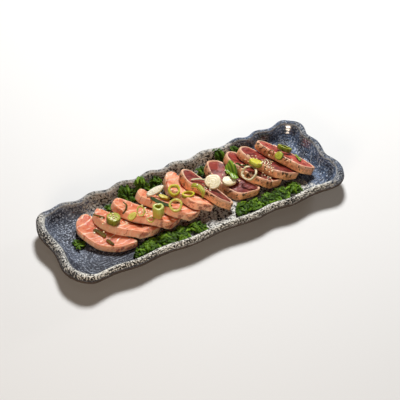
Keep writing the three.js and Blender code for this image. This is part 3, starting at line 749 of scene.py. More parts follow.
@dataclass(frozen=True)
class Stoneware(Finish):
    """Slate glaze with salt-and-pepper in the middle and on the lip, over a brown body painted dark as shade.

    Attributes:
        slate, navy, slate_dark, dust, pits, drawn: the slate glaze and the comb lines drawn in it.
        pale, pepper, grit: the salt-and-pepper glaze.
        lip_pale, line: the white of the lip, and the line inside it.
        comb_turn: how far the comb lines turn for each millimetre in from the rim.
    """

    slate: Paint = paint(92, 100, 116)
    navy: Paint = paint(96, 116, 147)
    slate_dark: Paint = paint(32, 36, 48)
    dust: Paint = paint(198, 207, 222)
    pits: Paint = paint(24, 27, 38)
    drawn: Paint = paint(166, 172, 186)
    pale: Paint = paint(226, 224, 216)
    pepper: Paint = paint(34, 32, 31)
    grit: Paint = paint(136, 126, 112)
    lip_pale: Paint = paint(238, 236, 226)
    line: Paint = paint(206, 206, 198)
    # body: brown clay, painted dark as the shade on the undercut outer wall under the rim.
    body: Paint = paint(74, 62, 52)
    comb_turn: float = 2.1

    def dress(self, on: Surface) -> None:
        """Mixes the glazes by zone, and adds the shine and the comb lines.

        Args:
            on: the surface.
        """
        seen = Glazed(on, self.comb_turn)
        ragged = on.plus(seen.white, on.swing(seen.fine, 0.5))
        colour = on.mix(on.step(ragged, 0.3, 0.7), self.slate_glaze(seen), self.salt_glaze(seen))
        colour = on.mix(seen.lip, colour, self.lip_glaze(seen))
        colour = on.mix(seen.line, colour, self.line)
        # The outer wall: brown clay painted dark, which stands in for its shade under the overhanging rim.
        body = on.mix(on.times(seen.coarse, 0.4), self.body, self.pepper)
        on.feed("Base Color", on.mix(seen.outer, colour, body))
        matte = on.math("MAXIMUM", seen.lip, seen.outer)
        on.feed("Roughness", on.plus(on.times(matte, 0.2), self.roughness))
        on.feed("Coat Weight", on.times(seen.gloss, on.step(seen.comb, -0.9, 0.1, 0.25, 1.0)))
        combed = on.times(on.times(seen.comb, on.minus(1.0, matte)), 0.14)
        rolling = on.times(seen.uneven, on.step(seen.gloss, 0.0, 1.0, 1.3, 0.25))
        on.relief(on.plus(on.plus(combed, rolling), on.times(seen.fine, 0.06)), 0.8)

    def slate_glaze(self, seen: Glazed) -> Socket:
        """The slate: bluer at one end, darker in places, dusted, pitted and combed.

        Args:
            seen: its zones and patterns.

        Returns:
            The colour.
        """
        on = seen.on
        colour = on.mix(seen.blue, self.slate, self.navy)
        colour = on.mix(on.step(seen.uneven, 0.36, 0.66), self.slate_dark, colour)
        colour = on.mix(on.times(seen.shade, 0.9), colour, self.slate_dark)
        colour = on.mix(on.times(seen.dust, on.step(seen.shade, 0.0, 1.0, 0.7, 0.3)), colour, self.dust)
        pits = on.specks(on.place((1.0, 1.0, 1.7)), 420.0, 0.4)
        colour = on.mix(on.times(pits, 0.75), colour, self.pits)
        run = on.own_place(on.times(seen.around, 0.16), on.times(seen.inset, 0.7))
        broken = on.step(on.noise(run, 1.5, 3.0, 0.65), 0.44, 0.6)
        ridges = on.times(on.step(seen.comb, 0.0, 0.95), broken)
        return on.mix(on.times(ridges, on.step(seen.shade, 0.0, 1.0, 0.2, 0.6)), colour, self.drawn)

    def salt_glaze(self, seen: Glazed) -> Socket:
        """The salt-and-pepper of the middle, browner and grittier in places.

        Args:
            seen: its zones and patterns.

        Returns:
            The colour.
        """
        on = seen.on
        colour = on.mix(seen.fine, self.pepper, self.pale)
        colour = on.mix(on.times(seen.brown, 0.5), colour, self.pepper)
        grit = on.specks(on.place((1.3, 1.0, 1.0)), 330.0, 0.36)
        colour = on.mix(on.times(grit, seen.brown), colour, self.grit)
        return on.mix(on.times(seen.coarse, 0.4), colour, self.slate)

    def lip_glaze(self, seen: Glazed) -> Socket:
        """The lip's white, in slanting streaks.

        Args:
            seen: its zones and patterns.

        Returns:
            The colour.
        """
        on = seen.on
        slanted = on.plus(seen.around, on.times(seen.inset, 0.4))
        run = on.own_place(on.times(slanted, 0.0013), on.times(seen.inset, 0.00125))
        patchy = on.swing(on.noise(seen.point, 0.013, 1.0), 0.5)
        inward = on.step(seen.inset, -4.5, 1.5, 0.46, 0.62)
        share = on.times(inward, on.step(seen.lip, 0.3, 1.0, 0.66, 1.0))
        streaks = on.specks(run, 400.0, on.plus(share, patchy), 0.05)
        colour = on.mix(streaks, self.pepper, self.lip_pale)
        return on.mix(on.times(seen.dust, 0.6), colour, self.grit)


@dataclass
class Cut:
    """A slice's surface, with the numbers kept in its mesh and the patterns that its colours share."""

    on: Surface

    def __post_init__(self) -> None:
        """Reads the numbers and lays the patterns."""
        on = self.on
        self.along, self.across, self.run = (on.kept(k) for k in ("along", "across", "run"))
        self.up, self.edge, self.crack = (on.kept(k) for k in ("up", "edge", "crack"))
        self.point = on.place()
        self.side = on.times(on.step(self.up, 0.99, 0.8), on.step(self.edge, 0.8, 0.95))
        self.patches = on.lumps(self.point, 210.0, 0.5)


@dataclass(frozen=True)
class FishFlesh(Finish):
    """Sliced fish: flesh crossed by pale lines, a rim of another colour, cut sides painted pale as painted
    light, and cracks painted dark as painted shade.

    Attributes:
        deep, near_shade: its deeper patches, and how far the near end is darkened towards deep as painted
            shade of its sunken flesh.
        line, line_gap, line_width, line_share: the lines of fat.
        rim, rim_share, rim_from: the rim, and the share of the half width where it starts.
        side, side_share, mottle: the cut sides' colour, painted paler than the flesh as painted light (on
            tuna also the tan of its sear), how much of it shows, and how plain the sides are.
        char, char_share, bruise, bruise_share, crack: seared spots, dark blots, and the cracks' colour,
        painted dark as painted shade.
        wet, grain: how much of it is wet, and the depth of its fibres.
    """

    flesh: Paint = paint(238, 160, 122)
    deep: Paint = paint(212, 108, 70)
    line: Paint = paint(254, 222, 200)
    line_gap: float = 8.5
    line_width: float = 0.14
    line_share: float = 0.8
    rim: Paint = paint(250, 190, 156)
    rim_share: float = 0.45
    rim_from: float = 0.86
    side: Paint = paint(255, 204, 170)
    side_share: float = 0.85
    crack: Paint = paint(150, 40, 18)
    char: Paint = paint(60, 34, 24)
    char_share: float = 0.0
    mottle: float = 0.5
    bruise: Paint = paint(150, 62, 60)
    bruise_share: float = 0.7
    near_shade: float = 0.0
    wet: float = 0.4
    grain: float = 0.25

    def dress(self, on: Surface) -> None:
        """Lays the lines, the sides, the rim and the marks over the flesh, and wets it.

        Args:
            on: the surface.
        """
        cut = Cut(on)
        lines = self.fat_lines(cut)
        uneven = on.lumps(cut.point, 130.0)
        colour = on.mix(on.step(uneven, 0.34, 0.62), self.deep, self.flesh)
        # Painted shade: the flesh darkens towards deep at the near end, where the sunken flesh lies in shade.
        colour = on.mix(on.times(on.step(cut.run, 0.3, 0.7), self.near_shade), colour, self.deep)
        colour = on.mix(lines, colour, self.line)
        # Painted light: the cut sides face away from the key, so their colour is painted paler than the
        # flesh.
        mottled = on.step(cut.patches, self.mottle, self.mottle + 0.26, 0.0, 0.7)
        side = on.mix(on.times(lines, 0.5), on.mix(mottled, self.side, self.deep), self.line)
        colour = on.mix(on.times(cut.side, self.side_share), colour, side)
        outward = on.plus(cut.edge, on.swing(cut.patches, 0.16))
        ragged = on.step(outward, self.rim_from - 0.04, self.rim_from + 0.03)
        rim = on.times(ragged, on.step(cut.up, 0.62, 0.95))
        colour = on.mix(on.times(rim, self.rim_share), colour, self.rim)
        on.feed("Base Color", self.marked(cut, colour))
        fibre = on.lumps(cut.point, 420.0, 0.45)
        on.relief(on.minus(on.times(fibre, self.grain), on.times(lines, 0.2)), 1.0)
        on.feed("Roughness", on.step(fibre, 0.3, 0.7, self.roughness - 0.12, self.roughness + 0.14))
        drops = on.step(on.lumps(cut.point, 170.0, 0.45), 0.54, 0.6)
        on.feed("Coat Weight", on.times(drops, self.wet))

    def fat_lines(self, cut: Cut) -> Socket:
        """The pale lines across the slice, which bend back at its edges and fade in places.

        Args:
            cut: its numbers and patterns.

        Returns:
            How much of a line each point is in.
        """
        on = cut.on
        drift = on.swing(on.noise(cut.point, 0.011, 2.0), 9.0)
        slant = on.times(on.math("ABSOLUTE", cut.across), 0.32)
        turns = on.math("DIVIDE", on.plus(on.plus(cut.along, drift), slant), self.line_gap)
        from_middle = on.math("ABSOLUTE", on.minus(on.math("FRACT", turns), 0.5))
        shown = on.step(on.noise(cut.point, 0.009, 1.0), 0.34, 0.56)
        return on.times(on.times(on.step(from_middle, self.line_width, 0.03), shown), self.line_share)

    def marked(self, cut: Cut, colour: Socket) -> Socket:
        """The flesh with its seared spots, its blots and its cracks, which are painted dark as painted shade.

        Args:
            cut: its numbers and patterns.
            colour: the flesh.

        Returns:
            The colour.
        """
        on = cut.on
        if self.char_share > 0:
            spots = on.specks(on.place((1.0, 1.0, 0.7)), 210.0, 0.34, 0.03)
            where = on.times(on.step(cut.edge, 0.9, 1.0), on.step(cut.up, 0.1, 0.7, 0.25, 1.0))
            colour = on.mix(on.times(on.times(spots, where), self.char_share), colour, self.char)
        if self.bruise_share > 0:
            blots = on.step(on.noise(cut.point, 0.0045, 2.0), 0.46, 0.6)
            where = on.times(cut.side, on.step(cut.run, 0.78, 0.9))
            colour = on.mix(on.times(on.times(blots, where), self.bruise_share), colour, self.bruise)
        # Painted shade: the cracks are painted dark, as the shade in the gaps between flakes.
        return on.mix(on.times(cut.crack, 0.85), colour, self.crack)


@dataclass(frozen=True)
class LeafGreen(Finish):
    """Fresh leaf: each leaflet its own green, paler at its edge and darker low down as painted shade."""

    green: Paint = paint(54, 86, 12)
    bright: Paint = paint(108, 144, 26)
    # dark: the darkest green, also painted low in the bed as shade.
    dark: Paint = paint(10, 20, 5)

    def dress(self, on: Surface) -> None:
        """Mixes the greens by leaflet, by how far out in it a point is, and by its height, which paints shade
        low in the bed.

        Args:
            on: the surface.
        """
        point = on.place()
        shade = on.plus(on.kept("tint"), on.swing(on.lumps(point, 160.0), 1.2))
        colour = on.mix(on.step(shade, -0.1, 0.5), self.dark, self.green)
        colour = on.mix(on.step(shade, 0.5, 1.1), colour, self.bright)
        colour = on.mix(on.times(on.step(on.kept("edge"), 0.5, 1.0), 0.45), colour, self.bright)
        # Painted shade: leaflets low down, near the ground, are darkened.
        on.feed("Base Color", on.mix(on.step(on.kept("height"), 0.42, 0.0), colour, self.dark))
        on.relief(on.noise(point, 0.0011, 2.0), 0.35)


@dataclass(frozen=True, kw_only=True)
class CutStalk(Finish):
    """A cut of layered stalk: rings of layer on its faces and fine lines round its skin."""

    skin: Paint
    skin_low: Paint
    face: Paint
    layer: Paint
    core: Paint
    layers: float = 3.5
    lines: float = 40.0

    def dress(self, on: Surface) -> None:
        """Mixes the faces' rings with the skin by the numbers kept in the mesh.

        Args:
            on: the surface.
        """
        out, up, flat, turn = (on.kept(k) for k in ("edge", "up", "flat", "turn"))
        uneven = on.lumps(on.place(), 230.0)
        bands = on.math("FRACT", on.times(on.plus(out, on.swing(uneven, 0.5)), self.layers))
        ringed = on.step(on.math("ABSOLUTE", on.minus(bands, 0.5)), 0.34, 0.12)
        face = on.mix(on.step(out, 0.0, 0.45), self.core, self.face)
        face = on.mix(on.times(ringed, 0.75), face, self.layer)
        face = on.mix(on.step(out, 0.88, 0.99), face, self.skin)
        skin = on.mix(on.step(up, 0.15, 0.9), self.skin_low, self.skin)
        fine = on.math("SINE", on.times(turn, self.lines))
        grooves = on.times(on.step(fine, 0.2, 0.9), on.step(uneven, 0.36, 0.6))
        skin = on.mix(on.times(grooves, 0.35), skin, self.layer)
        skin = on.mix(on.times(on.step(uneven, 0.56, 0.42), 0.5), skin, self.core)
        on.feed("Base Color", on.mix(flat, skin, face))
        lined = on.times(on.times(fine, on.minus(1.0, flat)), 0.15)
        layered = on.times(on.times(ringed, flat), 0.25)
        on.relief(on.plus(on.plus(lined, on.times(uneven, 0.6)), layered), 0.7)


@dataclass(frozen=True, kw_only=True)
class BladeGreen(Finish):
    """A strip of leaf with lines along it."""

    light: Paint
    dark: Paint
    lines: float = 12.0

    def dress(self, on: Surface) -> None:
        """Mixes two greens by lines that run along the strip.

        Args:
            on: the surface.
        """
        run = on.math("SINE", on.times(on.kept("across"), self.lines))
        mixed = on.plus(on.times(on.step(run, -0.6, 0.8), 0.45), on.lumps(on.place(), 170.0))
        on.feed("Base Color", on.mix(on.step(mixed, 0.4, 1.05), self.dark, self.light))
        on.relief(run, 0.12)


@dataclass(frozen=True)
class SeedHusk(Finish):
    """Sesame seeds, each a little lighter or darker than the next."""

    pale: Paint = paint(255, 240, 208)
    toasted: Paint = paint(232, 196, 140)

    def dress(self, on: Surface) -> None:
        """Mixes pale and toasted from seed to seed."""
        patches = on.noise(on.place(), 0.006, 0.0)
        on.feed("Base Color", on.mix(on.step(patches, 0.38, 0.66), self.pale, self.toasted))


# -------- pieces
class Slot(Enum):
    """The material slots."""

    GLAZE = "glaze"
    SALMON = "salmon"
    TUNA = "tuna"
    LEAF = "leaf"
    GREEN = "scallion_green"
    DARK = "scallion_dark"
    PALE = "scallion_pale"
    WHITE = "onion_white"


@dataclass
class Kitchen:
    """What pieces are made with: heights laid so far, shader groups, materials and what lies overhead."""

    laid: Laid
    shared: Shared
    materials: dict[str, Material]
    clear: float = 99.0

    def __post_init__(self) -> None:
        """Starts with nothing overhead."""
        self.ceiling = np.full(self.laid.heights.shape, self.clear)

    def underside(self, made: Thing) -> None:
        """Lowers the ceiling to the points of a piece that lies over the greens."""
        x, y, z = vertex_places(made.data).T
        np.minimum.at(self.ceiling, self.laid.cells(x, y), z)

    def material(self, finish: Finish) -> Material:
        """The material of a finish, made the first time that it is wanted."""
        if finish.name not in self.materials:
            self.materials[finish.name] = finish.material(self.shared)
        return self.materials[finish.name]

    def finish(self, made: Thing, finish: Finish, node: str = "", slot: Slot | None = None) -> Thing:
        """Gives a piece its material and its body, and hides the CAD node that it stands for.

        Args:
            made: the piece.
            finish: what it looks like.
            node, slot: the CAD node that it replaces, or nothing, and its slot, which is not used.

        Returns:
            The piece.
        """
        made.data.materials.clear()
        made.data.materials.append(self.material(finish))
        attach(made, "root")
        if node:
            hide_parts(node)
        LOG.info("%s: %d faces", made.name, len(made.data.polygons))
        return made


@dataclass
class Plate:
    """The long plate: wavy rim, sloping walls and a flat floor on a foot.

    Attributes:
        corner_lift, corner_reach: how far its corners turn up, and from how far.
        radius_loss: how fast the radius of its corners shrinks inwards.
        far_crests, near_crests, left_crests, right_crests: where each side of the rim stands out.
        far_wave, near_wave, end_wave: how far out and how far up it stands there.
        foot, wall: the section as inset at the ends and sides, height and share of the wave.
        crest, clay: where distances in are counted from, and the distance given to all under the rim.
        pale_left, pale_right: ends of the pale middle, at the near and the far side.
        lip_band, line_band, gloss_band: the distances in that each spans.
    """

    length: float = 343.0
    width: float = 122.0
    corner_lift: float = 3.5
    corner_reach: float = 26.0
    corner_radius: float = 21.0
    radius_loss: float = 0.45
    smallest_radius: float = 9.0
    far_crests: tuple[float, ...] = (-167, -131, -95, -60, -24, 5, 45, 89, 115, 150, 182)
    near_crests: tuple[float, ...] = (-190, -149, -97, -33, 45, 91, 150, 190)
    left_crests: tuple[float, ...] = (-72, -29, 28, 72)
    right_crests: tuple[float, ...] = (-70, -32, 10, 46, 82)
    far_wave: Plan = (1.5, 0.7)
    near_wave: Plan = (1.5, 0.3)
    end_wave: Plan = (1.7, 0.5)
    foot: tuple[Edges, ...] = (
        (37, 31, 2, 0), (36, 30, 0.4, 0), (35.4, 29.4, 0, 0),
        (29.6, 23.6, 0, 0), (29, 23, 0.4, 0), (27, 21, 3.5, 0),
    )
    wall: tuple[Edges, ...] = (
        (27, 21, 3.5, 0), (14, 11, 9.5, 0.4), (2.6, 1.6, 15.2, 1), (0, 0, 17.6, 1),
        (2.2, 0.8, 22.4, 1), (4.2, 2, 24.5, 1), (6.4, 3.8, 25, 1), (8.8, 6, 23.7, 1),
        (11.2, 8.4, 19.4, 0.9), (14.4, 11, 13.8, 0.6), (19, 14.6, 9.8, 0.25), (25, 19, 8.2, 0),
    )
    floor_step: float = 2.0
    floor_steps: int = 16
    long_steps: int = 210
    short_steps: int = 60
    corner_steps: int = 16
    wall_steps: int = 6
    crest: Plan = (3.0, 24.8)
    clay: float = -30.0
    pale_left: Plan = (-52.0, -116.0)
    pale_right: Plan = (146.0, 56.0)
    lip_band: Edges = (-6.5, -4.5, 3.2, 5.2)
    line_band: Edges = (2.4, 3.3, 4.3, 5.2)
    gloss_band: Edges = (2.5, 5.0, 14.0, 22.0)
    finish: Finish = Stoneware(
        "stoneware_glaze", roughness=0.6, coat_roughness=0.17, coat_ior=2.4, specular=0.3
    )

    def outline(self, end: float, side: float) -> Array:
        """One ring in plan.

        Args:
            end, side: how far in it lies at the ends and at the sides.

        Returns:
            Its points with the way that each faces, shaped (n, 4).
        """
        half_length = self.length / 2 - self.end_wave[0] - end
        half_width = self.width / 2 - self.far_wave[0] - side
        radius = max(self.corner_radius - self.radius_loss * side, self.smallest_radius)
        corners = ((1, -1), (1, 1), (-1, 1), (-1, -1))
        runs = []
        for k, (sx, sy) in enumerate(corners):
            angle = (k - 1 + np.arange(self.corner_steps + 1) / self.corner_steps) * math.pi / 2
            facing = np.stack([np.cos(angle), np.sin(angle)], 1)
            centre = np.array([sx * (half_length - radius), sy * (half_width - radius)])
            arc = centre + radius * facing
            x, y = arc[-1]
            next_x, next_y = corners[(k + 1) % 4]
            end_side = k % 2 == 0
            after = (x, next_y * (half_width - radius)) if end_side else (next_x * (half_length - radius), y)
            steps = self.short_steps if end_side else self.long_steps
            share = (np.arange(1, steps) / steps)[:, None]
            straight = arc[-1] + (np.array(after) - arc[-1]) * share
            runs += [np.hstack([arc, facing]), np.hstack([straight, np.repeat(facing[-1:], steps - 1, 0)])]
        return np.vstack(runs)

    @staticmethod
    def crest_wave(along: Array, crests: Sequence[float]) -> Array:
        """The wave of one side of the rim: 1 at each crest and -1 midway between two."""
        at = np.array(crests, float)
        i = np.clip(np.searchsorted(at, along) - 1, 0, len(at) - 2)
        return np.cos(2 * math.pi * (along - at[i]) / (at[i + 1] - at[i]))

    def ring(self, end: float, side: float, z: float, rise: float) -> Array:
        """One closed ring of the plate, counter-clockwise seen from above.

        Args:
            end, side: how far in it lies at the ends and at the sides.
            z: its height.
            rise: its share of the wave and of the lift of the corners.

        Returns:
            Its points, shaped (n, 3).
        """
        x, y, nx, ny = self.outline(end, side).T
        far = ny > 0
        along = np.where(far, self.crest_wave(x, self.far_crests), self.crest_wave(x, self.near_crests))
        ends = np.where(nx > 0, self.crest_wave(y, self.right_crests), self.crest_wave(y, self.left_crests))
        sizes = [np.where(far, self.far_wave[i], self.near_wave[i]) for i in (0, 1)]
        out, up = (ny**4 * along * sizes[i] + nx**4 * ends * self.end_wave[i] for i in (0, 1))
        to_corner = np.hypot(self.length / 2 - abs(x), self.width / 2 - abs(y))
        corner = self.corner_lift * np.exp(-((to_corner / self.corner_reach) ** 2))
        return np.stack([x + nx * out * rise, y + ny * out * rise, z + (corner + up) * rise], -1)

    def section(self) -> Array:
        """The rows of the foot, the wall and the floor, from the outside in."""
        wall = smooth_path(np.array(self.wall, float), self.wall_steps)
        inward = np.array([self.floor_step, self.floor_step, 0, 0])
        floor = [wall[-1] + inward * i for i in range(1, self.floor_steps)]
        return np.vstack([np.array(self.foot, float), wall[1:], floor])

    def build(self, kitchen: Kitchen) -> Thing:
        """Builds the plate and keeps the places of its glazes in its mesh.

        Args:
            kitchen: what it is made with.

        Returns:
            The plate.
        """
        section = self.section()
        rings = np.array([self.ring(*row) for row in section])
        steps = np.hypot(np.diff(section[:, 1]), np.diff(section[:, 2]))
        travelled = np.concatenate([[0], np.cumsum(steps)])
        crest = np.argmin(np.hypot(section[:, 1] - self.crest[0], section[:, 2] - self.crest[1]))
        inset = np.repeat((travelled - travelled[crest])[:, None], rings.shape[1], 1)
        inset[: np.argmin(section[:, 1])] = self.clay
        length = np.linalg.norm(np.roll(rings[crest], -1, 0) - rings[crest], axis=1)
        around = np.repeat(np.concatenate([[0], np.cumsum(length)[:-1]])[None, :], rings.shape[0], 0)
        fields = {"inset": inset, "around": around, **self.zones(rings, inset)}
        made = loft("plate_glazed", rings, Close.FAN, fields)
        kitchen.laid.add(rings)
        return kitchen.finish(made, self.finish, "plate", Slot.GLAZE)

    def zones(self, rings: Array, inset: Array) -> Fields:
        """How far each point is in each of the plate's glazes.

        Args:
            rings: the surface's points.
            inset: distance in from the rim's crest.

        Returns:
            A value from 0 to 1 for each point, by the name of the zone.
        """
        x, y = rings[..., 0], rings[..., 1]
        drift = lattice_noise(rings, 26, 3) * 14 + lattice_noise(rings, 9, 4) * 6
        depth = (y + self.width / 2) / self.width
        left, right = lerp(*self.pale_left, depth) + drift, lerp(*self.pale_right, depth) + drift
        browned = smooth(y, 30, 52) * lerp(0.35, 1.0, smooth(x, 20, -30)) * smooth(x, 80, 40)
        ragged = inset + lattice_noise(rings, 6, 5)
        near, far = smooth(y, -44, -50) * lerp(1.0, 0.42, smooth(x, 118, 160)), smooth(y, 44, 51)
        left_end, right_end = smooth(x, -150, -160), smooth(x, 150, 160)
        salted = np.maximum.reduce([near, 0.75 * left_end, 0.34 * right_end * (1 - far), 0.1 + 0 * near])
        zones = {
            "white": smooth(x, left - 20, left + 20) * smooth(x, right + 16, right - 16),
            "brown": lerp(0.12, 0.95, browned),
            "blue": smooth(x, 50, 130),
            "shade": smooth(y, -8, -34) * smooth(x, -30, -64),
            "lip": band(ragged, self.lip_band) * salted,
            "line": band(ragged, self.line_band) * (0.35 + 0.35 * left_end),
            "outer": smooth(ragged, -5.0, -7.0),
            "gloss": smooth(x + 1.2 * y, 130, 190) * band(inset, self.gloss_band),
        }
        return {key: np.clip(value, 0, 1) for key, value in zones.items()}


@dataclass
class Food:
    """A piece of food on the plate, named like the CAD node that it replaces."""

    name: str
    finish: Finish
    slot: Slot

    def serve(self, kitchen: Kitchen, made: Thing, points: Array) -> Thing:
        """Dresses the piece, and lets what comes next rest on these points of its surface."""
        kitchen.laid.add(points)
        return kitchen.finish(made, self.finish, self.name, self.slot)


@dataclass
class Slice(Food):
    """A slice of fish that drapes over what lies under it.

    Attributes:
        far, near, bow: ends of its middle line in plan, and how far its middle is off it.
        width: at its far and at its near end.
        slope: how far its cut sides lean to the right.
        rough, cracks, gap: size of its unevenness, depth of its cracks and length of a flake.
        square, skew: how square its far and near ends are, and how far their right corners run on.
        sink: how deep its flesh lies inside its rim.
        end_pull: how far the ends of its inner rings draw in.
        margin: what it rests on, as a share of its outline.
    """

    far: Plan
    near: Plan
    bow: float
    width: Plan
    thick: float
    seed: int
    slope: float = 0.45
    rough: float = 0.45
    cracks: float = 0.5
    gap: float = 8.5
    square: Plan = (2.7, 4.4)
    skew: Plan = (0.0, 0.25)
    sink: float = 0.0
    end_pull: float = 0.36
    margin: float = 1.1
    steps: int = 96
    outline_steps: int = 40
    span_rings: tuple[int, ...] = (2, 3, 2, 3, 4, 4, 3, 2, 6, 8)
    profile_steps: int = 12
    proud_least: float = -1.5
    proud_most: float = 0.4

    UNDER: ClassVar[Line] = ((0, 0), (0.5, 0), (0.9, 0), (0.975, 0.06), (1, 0.22))
    OVER: ClassVar[Line] = ((1.004, 0.5), (1, 0.8), (0.975, 0.94), (0.92, 1), (0.55, 1), (0, 1))
    LUMPS: ClassVar[tuple[tuple[float, float, int], ...]] = ((11, 1.0, 0), (4.5, 0.45, 1), (2.2, 0.2, 5))

    def section(self) -> Array:
        """The share of the half width and of the thickness for each ring, from under to over the middle."""
        path = smooth_path(np.array(self.UNDER + self.OVER), self.profile_steps)
        kept = []
        for i, rings in enumerate(self.span_rings):
            first = self.profile_steps * i
            kept.append(path[first : first + self.profile_steps : max(self.profile_steps // rings, 1)])
        return np.vstack([np.clip(np.vstack(kept), 0, None), self.OVER[-1]])

    def plan(self, across: float, steps: int) -> tuple[Array, Array, Array]:
        """One ring in plan.

        Args:
            across: its share of the half width.
            steps: points along each side.

        Returns:
            Its places, shaped (n, 2), their distances along and their distances across.
        """
        length = math.hypot(self.near[0] - self.far[0], self.near[1] - self.far[1])
        pull = 1 - (1 - across) * self.end_pull
        step = np.concatenate([np.arange(steps), np.arange(steps, 0, -1)]) / steps
        hand = np.repeat([-1.0, 1.0], steps)
        spread = (1 - np.cos(math.pi * step)) / 2
        s = 0.5 + (spread - 0.5) * pull
        power = np.where(spread < 0.5, self.square[0], self.square[1])
        rounded = np.clip(1 - np.abs(2 * spread - 1) ** power, 0, None) ** (1 / power)
        half = 0.5 * lerp(self.width[0], self.width[1], spread) * rounded * across * hand
        sideways = half - self.bow * 4 * s * (1 - s)
        forward = length * s + half * lerp(self.skew[0], self.skew[1], spread)
        return np.stack(beside_line(self.far, self.near, forward, sideways), -1), length * s, half

    def build(self, kitchen: Kitchen) -> Thing:
        """Drapes the slice over what is laid.

        Args:
            kitchen: what it is made with.

        Returns:
            The slice.
        """
        outline = self.plan(1.0, self.outline_steps)[0]
        held = outline.mean(0) + (outline - outline.mean(0)) * self.margin
        drape = Drape(kitchen.laid.under(held), self.slope)
        section = self.section()
        rings, along, across = [], [], []
        for share, up in section:
            points, distance, half = self.plan(float(share), self.steps)
            lean = self.slope * self.thick * up
            z = drape.between(points[:, 0], points[:, 1], np.full(len(points), up)) + self.thick * up
            rings.append(np.column_stack([points[:, 0] + lean, points[:, 1], z]))
            along.append(distance)
            across.append(half)
        rings, along, across = np.array(rings), np.array(along), np.array(across)
        edge, up = (np.repeat(section[:, i : i + 1], rings.shape[1], 1) for i in (0, 1))
        fields = {"along": along, "across": across, "up": up, "edge": edge}
        proud, fields["crack"] = self.relief(rings, fields)
        fields["run"] = along / math.dist(self.far, self.near)
        rings = rings + surface_normals(rings) * proud[..., None]
        mirrored = -np.arange(rings.shape[1]) % rings.shape[1]
        for seam in (0, -1):
            rings[seam] = (rings[seam] + rings[seam][mirrored]) / 2
        return self.serve(kitchen, loft(self.name + "_flesh", rings, Close.SEAM, fields), rings)

    def relief(self, rings: Array, fields: Fields) -> tuple[Array, Array]:
        """How far the surface stands proud: uneven, grooved between flakes and cracked in the cut sides.

        Args:
            rings: the surface's points.
            fields: distances along and across the slice, and shares of its thickness and of its half width.

        Returns:
            The height over the plain surface, and how deep in a crack each point is.
        """
        along, across, up, edge = (fields[key] for key in ("along", "across", "up", "edge"))
        lumps = sum(lattice_noise(rings, size, self.seed + k) * height for size, height, k in self.LUMPS)
        flakes = along + lattice_noise(rings, 10, self.seed + 2) * 2.2 + abs(across) * 0.3
        groove = 1 - smooth(self.from_middle(flakes, self.gap), 0.0, 0.1)
        splits = along + lattice_noise(rings, 6, self.seed + 3) * 2.6 + across * 0.25
        crack = 1 - smooth(self.from_middle(splits, self.gap * 2.0), 0.0, 0.05)
        side = smooth(edge, 0.62, 0.95) * smooth(up, 0.05, 0.3)
        some = smooth(lattice_noise(rings[:, :, :2] @ np.eye(2, 3), 12, self.seed + 4), -0.15, 0.3)
        crack = crack * side * some
        inside = smooth(edge, 0.9, 0.78) * smooth(up, 0.9, 1.0)
        sunk = (groove * 0.3 + crack * 2.4) * self.cracks + inside * self.sink
        proud = lumps * self.rough - sunk
        return np.clip(proud, self.proud_least, self.proud_most) * smooth(up, 0.1, 0.4), crack

    @staticmethod
    def from_middle(places: Array, gap: float) -> Array:
        """How far each place is from the middle of its stretch, as a share of the gap between two."""
        cycle = places / gap
        return abs(cycle - np.floor(cycle) - 0.5)


@dataclass
class Blade(Food):
    """A strip of scallion leaf or onion that lies over what is laid.

    Attributes:
        root, tip, bend: its ends in plan, and how far its middle is off the line between them.
        rise: how far it is pulled up at its root, middle and tip.
        cup: how far its edges turn up, as a share of its width.
        ease: how far along it a bump under it is felt.
    """

    root: Plan
    tip: Plan
    width: float
    thick: float
    bend: float = 0.0
    rise: Spot = (0, 0, 0)
    cup: float = 0.12
    ease: float = 3.0
    steps: int = 44
    columns: int = 9

    def eased(self, low: Array, length: float) -> Array:
        """The heights that a strip lies at, which bridge the dips under it.

        Args:
            low: heights under it, shaped (along, across).
            length: the strip's length.

        Returns:
            Heights of the same shape.
        """
        reach = max(int(round(self.ease / (length / self.steps))), 1)
        padded = np.pad(low, ((reach, reach), (0, 0)), "edge")
        high = np.max([np.roll(padded, k, 0) for k in range(-reach, reach + 1)], 0)
        window = np.hanning(2 * reach + 3)[1:-1]
        window /= window.sum()
        soft = np.apply_along_axis(lambda c: np.convolve(c, window, "same"), 0, high)[reach:-reach]
        return np.maximum(soft, low)

    def build(self, kitchen: Kitchen) -> Thing:
        """Lays the strip, which bridges the dips in what lies under it.

        Args:
            kitchen: what it is made with.

        Returns:
            The strip.
        """
        length = math.hypot(self.tip[0] - self.root[0], self.tip[1] - self.root[1])
        s = np.linspace(0, 1, self.steps + 1)[:, None]
        across = np.linspace(-1, 1, self.columns)[None, :]
        swell = 1 - 0.5 * (2 * s - 1) ** 6
        sideways = across * self.width * swell / 2 + self.bend * 4 * s * (1 - s)
        x, y = beside_line(self.root, self.tip, length * s + 0 * across, sideways)
        base = self.eased(kitchen.laid.height(x, y) + GAP, length) + arch(s, self.rise)
        cupped = self.cup * self.width * across**2 * (0.6 + 0.4 * np.sin(9 * s + self.width))
        grid = np.stack([x, y, base + np.clip(cupped, 0, None) + self.thick / 2], -1)
        ones = np.ones_like(x)
        fields = {"across": across * ones, "along": s * length * ones, "edge": abs(across) * ones}
        made = thin_sheet(self.name + "_cut", grid, self.thick, fields)
        return self.serve(kitchen, made, grid + np.array([0, 0, self.thick / 2]))


